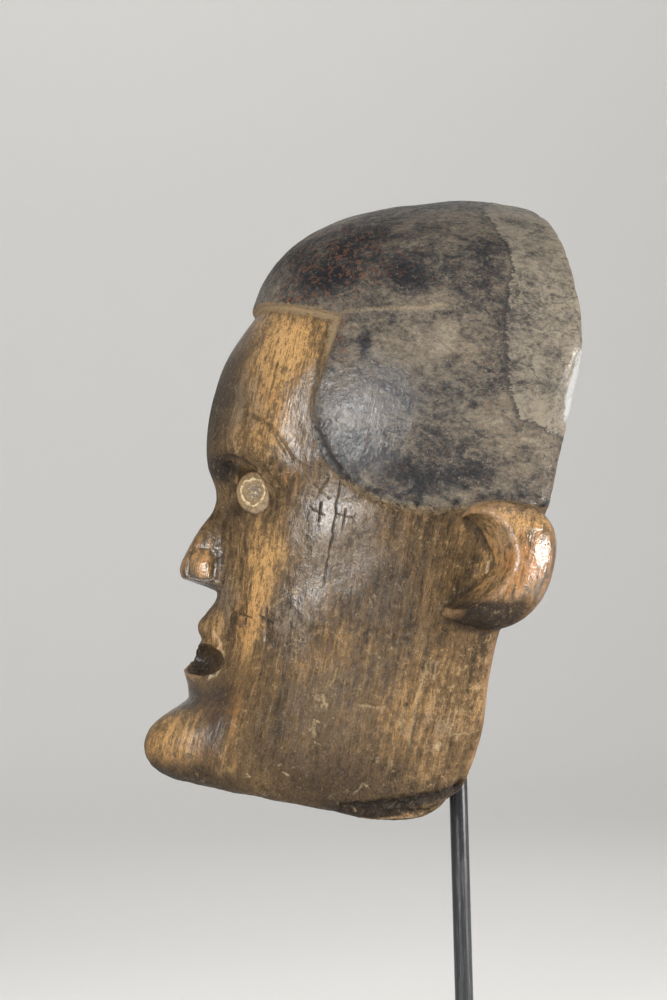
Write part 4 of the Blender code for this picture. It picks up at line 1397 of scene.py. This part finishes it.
    def rounded(self, node: bpy.types.Object) -> bpy.types.Object:
        """A rounded fine-meshed copy of the mask's solid.

        Args:
            node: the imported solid.

        Returns:
            The copy.
        """
        obj = node_mesh_copy(node, "carved_mask")
        bm = bmesh.new()
        bm.from_mesh(obj.data)
        crease = bm.edges.layers.float.new("crease_edge")
        for edge in bm.edges:
            if edge.is_manifold and edge.calc_face_angle() > self.crease_from:
                edge[crease] = 1.0
        bm.to_mesh(obj.data)
        bm.free()
        apply_modifier(obj, "SUBSURF", levels=2, render_levels=2)
        voxel = self.voxel
        apply_modifier(obj, "REMESH", mode="VOXEL", voxel_size=voxel * MM, adaptivity=0.0)
        return obj

    def cap_depth(self, places: np.ndarray) -> np.ndarray:
        """How far inside the cap each place lies, seen from the side, in millimetres."""
        depth = signed_distance(self.cap_line, side_plane(places))
        return np.clip(depth, -25.0, 25.0)

    def inside(self, carving: Carving) -> np.ndarray:
        """How much each vertex belongs to the hollow's inside, from 0 to 1."""
        places = carving.places
        middle = np.column_stack((np.zeros(carving.count), np.full(carving.count, 40.0),
                                  np.clip(places[:, 2], 62.0, 230.0)))
        away = places - middle
        away /= np.maximum(np.linalg.norm(away, axis=1), 1e-6)[:, None]
        facing = (away * carving.normals).sum(axis=1)
        reach = 81.0 + 6.0 * ease(164.0, 172.0, places[:, 2])
        front = 138.0 + 9.0 * ease(172.0, 184.0, places[:, 2])
        found = (facing < -0.12) & (places[:, 1] < front) & (np.abs(places[:, 0]) < reach)
        return carving.softened(found.astype(float), 2)

    def frayed(self, cap: np.ndarray, places: np.ndarray) -> np.ndarray:
        """How much each place belongs to the frayed lower edge of the cap.

        Args:
            cap: how far inside the cap each place lies, in millimetres.
            places: rows of side, out and up in millimetres.

        Returns:
            Values from 0 to 1.
        """
        front = ease(112.0, 98.0, places[:, 1])
        return np.exp(-((cap - 2.5) / 3.2) ** 2) * ease(182.0, 166.0, places[:, 2]) * front

    def carve(self, carving: Carving) -> None:
        """Cuts the smaller forms, the tool marks and the wear into the mesh.

        Args:
            carving: the mask's mesh.
        """
        inside = self.inside(carving)
        cap = self.cap_depth(carving.places)
        turn = 1 - (carving.averaged(carving.normals) * carving.normals).sum(axis=1)
        sharp = ease(0.015, 0.06, carving.softened(turn, 1)) * (1 - inside)
        near_ledge = np.exp(-(cap / 2.5) ** 2) * (1 - inside)
        calm = 1 - np.maximum(0.80 * near_ledge, 0.85 * sharp)
        carving.smooth(8, calm)
        carving.write()

        places = carving.places.copy()
        outer = 1 - inside
        waves = self.wave.at(places) + self.ripple.at(places)
        facets = -np.abs(self.facet.at(places))
        dents = self.dent.at(places) * ease(0.0, 4.0, cap)
        gouged = np.abs(lattice_noise(places * (1, 1, 0.33), self.gouge_size, self.gouge_seed))
        move = outer * (waves + facets + dents)
        move += inside * (self.gouge_height * gouged - 0.6 * waves)
        move += outer * self.frayed(cap, places) * self.fray.at(places)
        crust = signed_distance(self.crust_line, side_plane(places)) + self.crust_shake.at(places)
        flakes = np.abs(self.flake.at(places))
        move += outer * ease(-0.8, 0.8, crust) * (self.crust_height - flakes)
        move += outer * ease(24.0, 4.0, places[:, 2]) * self.low_wear.at(places)
        mouth = np.linalg.norm((places - self.mouth_middle) / self.mouth_radii, axis=1)
        move += swell(mouth) * self.mouth_wear.at(places)
        for form in self.swellings():
            for side in form.reach.value:
                middle = np.array(form.middle) * (side, 1, 1)
                far = np.linalg.norm((places - middle) / form.radii, axis=1)
                move += form.rise * swell(far) * outer
        carving.push(move)
        carving.write()

    def thin(self, obj: bpy.types.Object) -> None:
        """Brings the mesh down to its number of triangles, first of all on its inside.

        Args:
            obj: the carved mask.
        """
        carving = Carving(obj, self.own)
        plain = self.inside(carving)
        group = obj.vertex_groups.new(name="plain")
        hollow = plain > 0.5
        face = carving.places[:, 1] >= self.face_from
        shares = ((hollow, 1.0), (~hollow & ~face, self.kept_at_back),
                  (~hollow & face, self.kept_at_face))
        for picked, weight in shares:
            group.add(np.flatnonzero(picked).tolist(), weight, "REPLACE")
        triangles = sum(len(face.vertices) - 2 for face in obj.data.polygons)
        LOG.info("%d triangles before thinning", triangles)
        share = min(1.0, self.most_triangles / triangles)
        apply_modifier(obj, "DECIMATE", ratio=share, vertex_group=group.name,
                       vertex_group_factor=8.0)
        obj.vertex_groups.clear()

    def divide(self, obj: bpy.types.Object) -> None:
        """Divides the mesh along the strokes, so that narrow ones can be cut into it.

        Args:
            obj: the carved mask.
        """
        for margin, widest in self.divisions:
            carving = Carving(obj, self.own)
            tree = carving.tree()
            near = np.zeros(carving.count, bool)
            for stroke in self.strokes():
                if stroke.width <= widest:
                    spread = self.stroke_spread * stroke.width + margin
                    far, _ = carving.near_stroke(tree, stroke, spread)
                    near |= far < spread
            bm = bmesh.new()
            bm.from_mesh(obj.data)
            bm.verts.ensure_lookup_table()
            edges = [edge for edge in bm.edges if near[[v.index for v in edge.verts]].all()]
            bmesh.ops.subdivide_edges(bm, edges=edges, cuts=1)
            bmesh.ops.triangulate(bm, faces=bm.faces)
            bm.to_mesh(obj.data)
            bm.free()
            carving = Carving(obj, self.own)
            moved = np.zeros(carving.count)
            moved[len(near):] = 1.0
            moved = np.minimum(1.0, 2 * carving.softened(moved, 1))
            carving.smooth(2, moved)
            carving.write()
        LOG.info("divided along the strokes, %d faces", len(obj.data.polygons))

    def cut_strokes(self, carving: Carving) -> np.ndarray:
        """Cuts the strokes into the mesh.

        Args:
            carving: the mask's mesh.

        Returns:
            How dark and how scraped each vertex is by them, one row for each vertex.
        """
        outer = 1 - self.inside(carving)
        tree = carving.tree()
        move = np.zeros(carving.count)
        marks = np.zeros((carving.count, 2))
        for stroke in self.strokes():
            spread = stroke.width * self.stroke_spread
            far, strong = carving.near_stroke(tree, stroke, spread)
            bite = 1.0
            if stroke.ragged:
                bite = 1 + self.bite.at(carving.places)
            move -= stroke.depth * swell(far / spread) ** 0.75 * strong * bite
            shape = strong * swell(far / (0.85 * spread))
            marks[:, 0] = np.maximum(marks[:, 0], stroke.stain_and_shade * shape)
            marks[:, 1] = np.maximum(marks[:, 1], stroke.pale * shape)
        carving.push(move * outer)
        carving.write()
        return marks

    def spotted(self, places: np.ndarray) -> dict[Layer, np.ndarray]:
        """Lays all spots out over the mask, their edges shaken a little.

        Args:
            places: rows of side, out and up in millimetres.

        Returns:
            One value for each place in each layer.
        """
        layers = {layer: np.zeros(len(places)) for layer in Layer}
        layers[Layer.SHINE] += self.base_shine
        layers[Layer.OCHRE] += self.base_ochre
        warp = np.column_stack([layered_noise(places, 9.0, 71 + axis) for axis in range(2)])
        seen = side_plane(places) + self.spot_warp * warp
        for spot in self.spots():
            cosine = math.cos(spot.turn)
            sine = math.sin(spot.turn)
            out = seen[:, 0] - spot.middle[0]
            up = seen[:, 1] - spot.middle[1]
            along = (out * cosine + up * sine) / spot.radii[0]
            across = (up * cosine - out * sine) / spot.radii[1]
            shape = swell(np.hypot(along, across) / 1.5)
            for side in spot.reach.value:
                on_side = ease(spot.least_side - 2, spot.least_side + 2, side * places[:, 0])
                layers[spot.layer] += spot.amount * shape * on_side
        return layers

    def ledge(self, cap: np.ndarray, places: np.ndarray) -> np.ndarray:
        """How much fuzzy pale wood shows along the edge of the cap.

        Args:
            cap: how far inside the cap each place lies, in millimetres.
            places: rows of side, out and up in millimetres.

        Returns:
            Values from 0 upwards.
        """
        front = ease(214.0, 236.0, places[:, 2]) * ease(112.0, 122.0, places[:, 1])
        ledge = ease(-6.0, -1.0, cap) * ease(1.0, 0.0, cap) * front * 0.8
        ledge += np.exp(-((cap + 0.5) / 0.8) ** 2) * 0.40
        ledge += np.exp(-((cap - 1.2) / 1.6) ** 2) * ease(170.0, 158.0, places[:, 2]) * 0.45
        return ledge

    def paint(self, carving: Carving, marks: np.ndarray) -> None:
        """Paints the values that the material reads onto the finished mesh.

        Args:
            carving: the mask's mesh.
            marks: how dark and how scraped each vertex is by the strokes.
        """
        places = carving.places
        inside = self.inside(carving)
        layers = self.spotted(places)
        cap = self.cap_depth(places)
        crust = signed_distance(self.crust_line, side_plane(places))
        frayed = self.frayed(cap, places)
        flecked = self.fray.at(places) / self.fray.height
        layers[Layer.UMBER] += 2.2 * frayed * np.clip(-flecked, 0, 1)
        layers[Layer.CHALK] += 1.4 * frayed * np.clip(flecked, 0, 1)
        even = carving.softened(places, 10)
        relief = ((places - even) * carving.normals).sum(axis=1)
        relief = carving.softened(relief, 1)
        outer = 1 - inside
        values = {layer.value: value for layer, value in layers.items()}
        values.update({
            "cap_mm": cap,
            "crust_mm": np.clip(crust, -25.0, 25.0),
            "cut": marks[:, 0],
            "scraped": marks[:, 1],
            "ledge": np.clip(self.ledge(cap, places), 0, 1) * outer,
            "edge": np.clip(relief, 0, 2) * outer,
            "pit": np.clip(-relief, 0, 2) * outer * ease(1.0, 3.5, np.abs(cap)),
            "inside": inside,
        })
        paint_values(carving.obj.data, values)

    def build(self, node: bpy.types.Object, effects: Effects) -> bpy.types.Object:
        """Builds the mask over its solid and dresses it.

        Args:
            node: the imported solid.
            effects: the shared effects.

        Returns:
            The finished mask.
        """
        obj = self.rounded(node)
        self.carve(Carving(obj, self.own))
        self.thin(obj)
        self.divide(obj)
        carving = Carving(obj, self.own)
        marks = self.cut_strokes(carving)
        self.paint(carving, marks)
        obj.data.materials.clear()
        obj.data.materials.append(OldWood().material(self.own, effects))
        obj.data.shade_smooth()
        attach(obj, "root")
        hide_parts("mask")
        return obj


@dataclass
class EyeInlay:
    """One inlaid oval disc with a ragged ring, standing where its solid stands."""

    long: float = 25.6 * MM
    short: float = 21.1 * MM
    thick: float = 4.0 * MM
    rim_under_top: float = 2.5 * MM
    sides: int = 40
    rings_mm: tuple[Flat, ...] = ((0.7, 0.35), (1.4, 0.55), (1.5, 0.35), (0.7, 0.35),
                                  (0.8, -0.25), (1.0, -0.30), (1.4, 0.15))

    def frame_of(self, node: bpy.types.Object) -> Matrix:
        """Where the solid disc is: its long and short axes and its outward face.

        Args:
            node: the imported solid.

        Returns:
            The place of the middle of its face's rim, with the face towards the third axis.
        """
        places = np.unique(read_rows(node.data, "co").round(7), axis=0)
        middle = (places.max(axis=0) + places.min(axis=0)) / 2
        _, _, axes = np.linalg.svd(places - places.mean(axis=0))
        facing = axes[2]
        if facing[1] > 0:
            facing = -facing
        long = axes[0]
        short = np.cross(facing, long)
        reach = (places - middle) @ facing
        frame = Matrix((Vector(long), Vector(short), Vector(facing))).transposed().to_4x4()
        frame.translation = Vector(middle + facing * (reach.max() - self.rim_under_top))
        return frame

    def build(self, node: bpy.types.Object, name: str, material: bpy.types.Material,
              seed: int) -> bpy.types.Object:
        """Builds the disc over its solid.

        Args:
            node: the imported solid.
            name: the new piece's name.
            material: its finish.
            seed: which ragged shape it gets.

        Returns:
            The finished disc.
        """
        frame = self.frame_of(node)
        bpy.ops.object.select_all(action="DESELECT")
        bpy.ops.mesh.primitive_cylinder_add(vertices=self.sides, radius=0.5, depth=1,
                                            end_fill_type="NGON")
        obj = bpy.context.object
        obj.name = name
        obj.data.name = name
        obj.data.transform(Matrix.Translation((0, 0, -self.thick / 2))
                           @ Matrix.Diagonal((self.long, self.short, self.thick, 1)))
        bpy.ops.object.mode_set(mode="EDIT")
        bpy.ops.mesh.select_mode(type="FACE")
        bpy.ops.mesh.select_all(action="DESELECT")
        bm = bmesh.from_edit_mesh(obj.data)
        for face in bm.faces:
            face.select_set(face.normal.z > 0.9)
        bmesh.update_edit_mesh(obj.data)
        for wide, rise in self.rings_mm:
            bpy.ops.mesh.inset(thickness=wide * MM, depth=rise * MM)
        bpy.ops.mesh.poke()
        bpy.ops.object.mode_set(mode="OBJECT")
        apply_modifier(obj, "SUBSURF", levels=2, render_levels=2)
        self.roughen(obj, seed)
        obj.data.transform(frame)
        obj.data.materials.append(material)
        obj.data.shade_smooth()
        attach(obj, "root")
        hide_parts(node.name)
        return obj

    def roughen(self, obj: bpy.types.Object, seed: int) -> None:
        """Wears the disc's surface and paints its ring, its middle and the dirt at its rim.

        Args:
            obj: the disc, still flat in its own frame.
            seed: which ragged shape it gets.
        """
        mesh = obj.data
        places = read_rows(mesh, "co")
        spread = np.hypot(places[:, 0] / (self.long / 2), places[:, 1] / (self.short / 2))
        upper = ease(-0.5 * MM, 0.4 * MM, places[:, 2])
        ragged = spread + 0.09 * layered_noise(places / MM, 4.0, seed)
        ring = swell((ragged - 0.60) / 0.13)
        worn = 0.22 * layered_noise(places / MM, 2.6, seed + 5) + 0.25 * ring
        places[:, 2] += upper * worn * MM
        mesh.vertices.foreach_set("co", places.ravel())
        mesh.update()
        paint_values(mesh, {"ring": ring * upper, "middle": ease(0.5, 0.2, ragged),
                            "grime": ease(0.86, 1.02, ragged)})


@dataclass
class Stand:
    """The steel rod with its cross bar, and the foot plate."""

    def build(self, nodes: dict[str, bpy.types.Object], effects: Effects) -> None:
        """Dresses the two solids in black paint.

        Args:
            nodes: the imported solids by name.
            effects: the shared effects.
        """
        finishes = {"stand_rod": BlackPaint(), "stand_foot": BlackPaint(rough=0.34, dusty=0.5)}
        for name, finish in finishes.items():
            node = nodes[name]
            node.data.materials.clear()
            node.data.materials.append(finish.material(f"black paint {name[6:]}", effects))
            LOG.info("%s dressed", name)


@dataclass(frozen=True)
class Lamp:
    """One soft rectangular light."""

    name: str
    direction: Place
    distance: float
    size: Flat
    power: float
    colour: Colour = (1.0, 1.0, 1.0)

    def build(self, target: Vector) -> None:
        """Adds the light, standing at its distance from a place that it faces."""
        data = bpy.data.lights.new(self.name, "AREA")
        data.shape = "RECTANGLE"
        data.size, data.size_y = self.size
        data.energy = self.power
        data.color = self.colour
        obj = bpy.data.objects.new(self.name, data)
        away = Vector(self.direction).normalized() * self.distance
        obj.location = target + away
        obj.rotation_euler = (obj.location - target).to_track_quat("Z", "Y").to_euler()
        bpy.context.collection.objects.link(obj)


@dataclass
class Studio:
    """The pale room: a floor that curves up all round, soft lights and the camera."""

    floor_reach: float = 3.0
    floor_sides: int = 96
    curve: float = 1.4
    curve_steps: int = 10
    height: float = 3.4
    pale: Colour = (0.82, 0.81, 0.79)
    aim: Place = (0.0, -0.06, 0.31)
    wall_aim: Place = (-4.2, 0.0, 1.2)
    sky: Colour = (0.95, 0.97, 1.0)
    sky_strength: float = 0.30
    lens: float = 85.0
    sensor: float = 36.0
    camera_place: Place = (1.2162, -0.2328, 0.2266)
    azimuth: float = math.radians(82.0)
    pitch: float = math.radians(4.0)
    roll: float = math.radians(1.4)

    def floor(self) -> bpy.types.Object:
        """A round pale floor whose rim curves up into a wall.

        Returns:
            The floor.
        """
        bpy.ops.object.select_all(action="DESELECT")
        bpy.ops.mesh.primitive_circle_add(vertices=self.floor_sides, radius=self.floor_reach,
                                          fill_type="NGON")
        obj = bpy.context.object
        obj.name = "pale_floor"
        bpy.ops.object.mode_set(mode="EDIT")
        bpy.ops.mesh.select_mode(type="EDGE")
        for step in range(self.curve_steps):
            turn = (step + 1) / self.curve_steps * math.pi / 2
            before = step / self.curve_steps * math.pi / 2
            bm = bmesh.from_edit_mesh(obj.data)
            for face in bm.faces:
                face.select_set(False)
            for edge in bm.edges:
                edge.select_set(edge.is_boundary)
            bmesh.update_edit_mesh(obj.data)
            lift = self.curve * (math.cos(before) - math.cos(turn))
            wide = self.floor_reach + self.curve * math.sin(turn)
            grow = wide / (self.floor_reach + self.curve * math.sin(before))
            bpy.ops.mesh.extrude_edges_move(TRANSFORM_OT_translate={"value": (0, 0, lift)})
            bpy.ops.transform.resize(value=(grow, grow, 1), center_override=(0, 0, 0))
        bpy.ops.mesh.extrude_edges_move(TRANSFORM_OT_translate={"value": (0, 0, self.height)})
        bpy.ops.mesh.select_all(action="SELECT")
        bpy.ops.mesh.normals_make_consistent(inside=True)
        bpy.ops.object.mode_set(mode="OBJECT")
        material, _, shader = new_material("pale floor")
        shader.inputs["Base Color"].default_value = (*self.pale, 1.0)
        shader.inputs["Roughness"].default_value = 0.85
        obj.data.materials.append(material)
        obj.data.shade_smooth()
        return obj

    def camera(self) -> None:
        """The camera at the photograph's place: level with the jaw, on the mask's left."""
        data = bpy.data.cameras.new("camera")
        data.lens = self.lens
        data.sensor_width = self.sensor
        obj = bpy.data.objects.new("camera", data)
        turn, pitch, roll = self.azimuth, self.pitch, self.roll
        forward = Vector((-math.sin(turn) * math.cos(pitch), math.cos(turn) * math.cos(pitch),
                          math.sin(pitch)))
        right = Vector((math.cos(turn), math.sin(turn), 0.0))
        up = right.cross(forward)
        tilted_right = right * math.cos(roll) - up * math.sin(roll)
        tilted_up = right * math.sin(roll) + up * math.cos(roll)
        frame = Matrix((tilted_right, tilted_up, -forward)).transposed().to_4x4()
        frame.translation = Vector(self.camera_place)
        obj.matrix_world = frame
        bpy.context.collection.objects.link(obj)
        bpy.context.scene.camera = obj

    def build(self) -> None:
        """Builds the floor, the lights, the world and the camera."""
        self.floor()
        lamps = (
            Lamp("key", (0.80, -0.59, 0.09), 0.9, (0.30, 0.46), 11.0),
            Lamp("top", (0.45, 0.05, 0.89), 1.0, (0.50, 0.50), 3.0),
            Lamp("rim", (0.50, 0.87, 0.0), 1.2, (0.36, 0.12), 24.0, (1.0, 0.97, 0.93)),
            Lamp("far side", (-0.8, 0.2, 0.7), 1.6, (0.9, 0.9), 4.0),
        )
        for lamp in lamps:
            lamp.build(Vector(self.aim))
        to_wall_lamp = Vector((2.2, 0.0, 1.7))
        Lamp("wall", tuple(to_wall_lamp), to_wall_lamp.length, (1.6, 1.6),
             30.0).build(Vector(self.wall_aim))
        world = bpy.data.worlds.new("room")
        bpy.context.scene.world = world
        world.use_nodes = True
        background = world.node_tree.nodes["Background"]
        background.inputs["Color"].default_value = (*self.sky, 1.0)
        background.inputs["Strength"].default_value = self.sky_strength
        bpy.context.scene.view_settings.view_transform = "Standard"
        self.camera()


def main() -> None:
    """Builds the whole scene around the frame."""
    logging.basicConfig(level=logging.INFO, format="%(message)s", force=True)
    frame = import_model()
    nodes = frame["nodes"]
    effects = Effects()
    own = OwnFrame()

    mask = CarvedMask(own).build(nodes["mask"], effects)
    LOG.info("mask carved, %d faces", len(mask.data.polygons))
    inlay = PaleInlay().material(effects)
    for seed, side in ((51, "left"), (61, "right")):
        eye = EyeInlay().build(nodes[f"{side}_eye_inlay"], f"{side}_eye", inlay, seed)
        LOG.info("%s built, %d faces", eye.name, len(eye.data.polygons))
    Stand().build(nodes, effects)
    Studio().build()
    LOG.info("studio built")


if __name__ == "__main__":
    main()
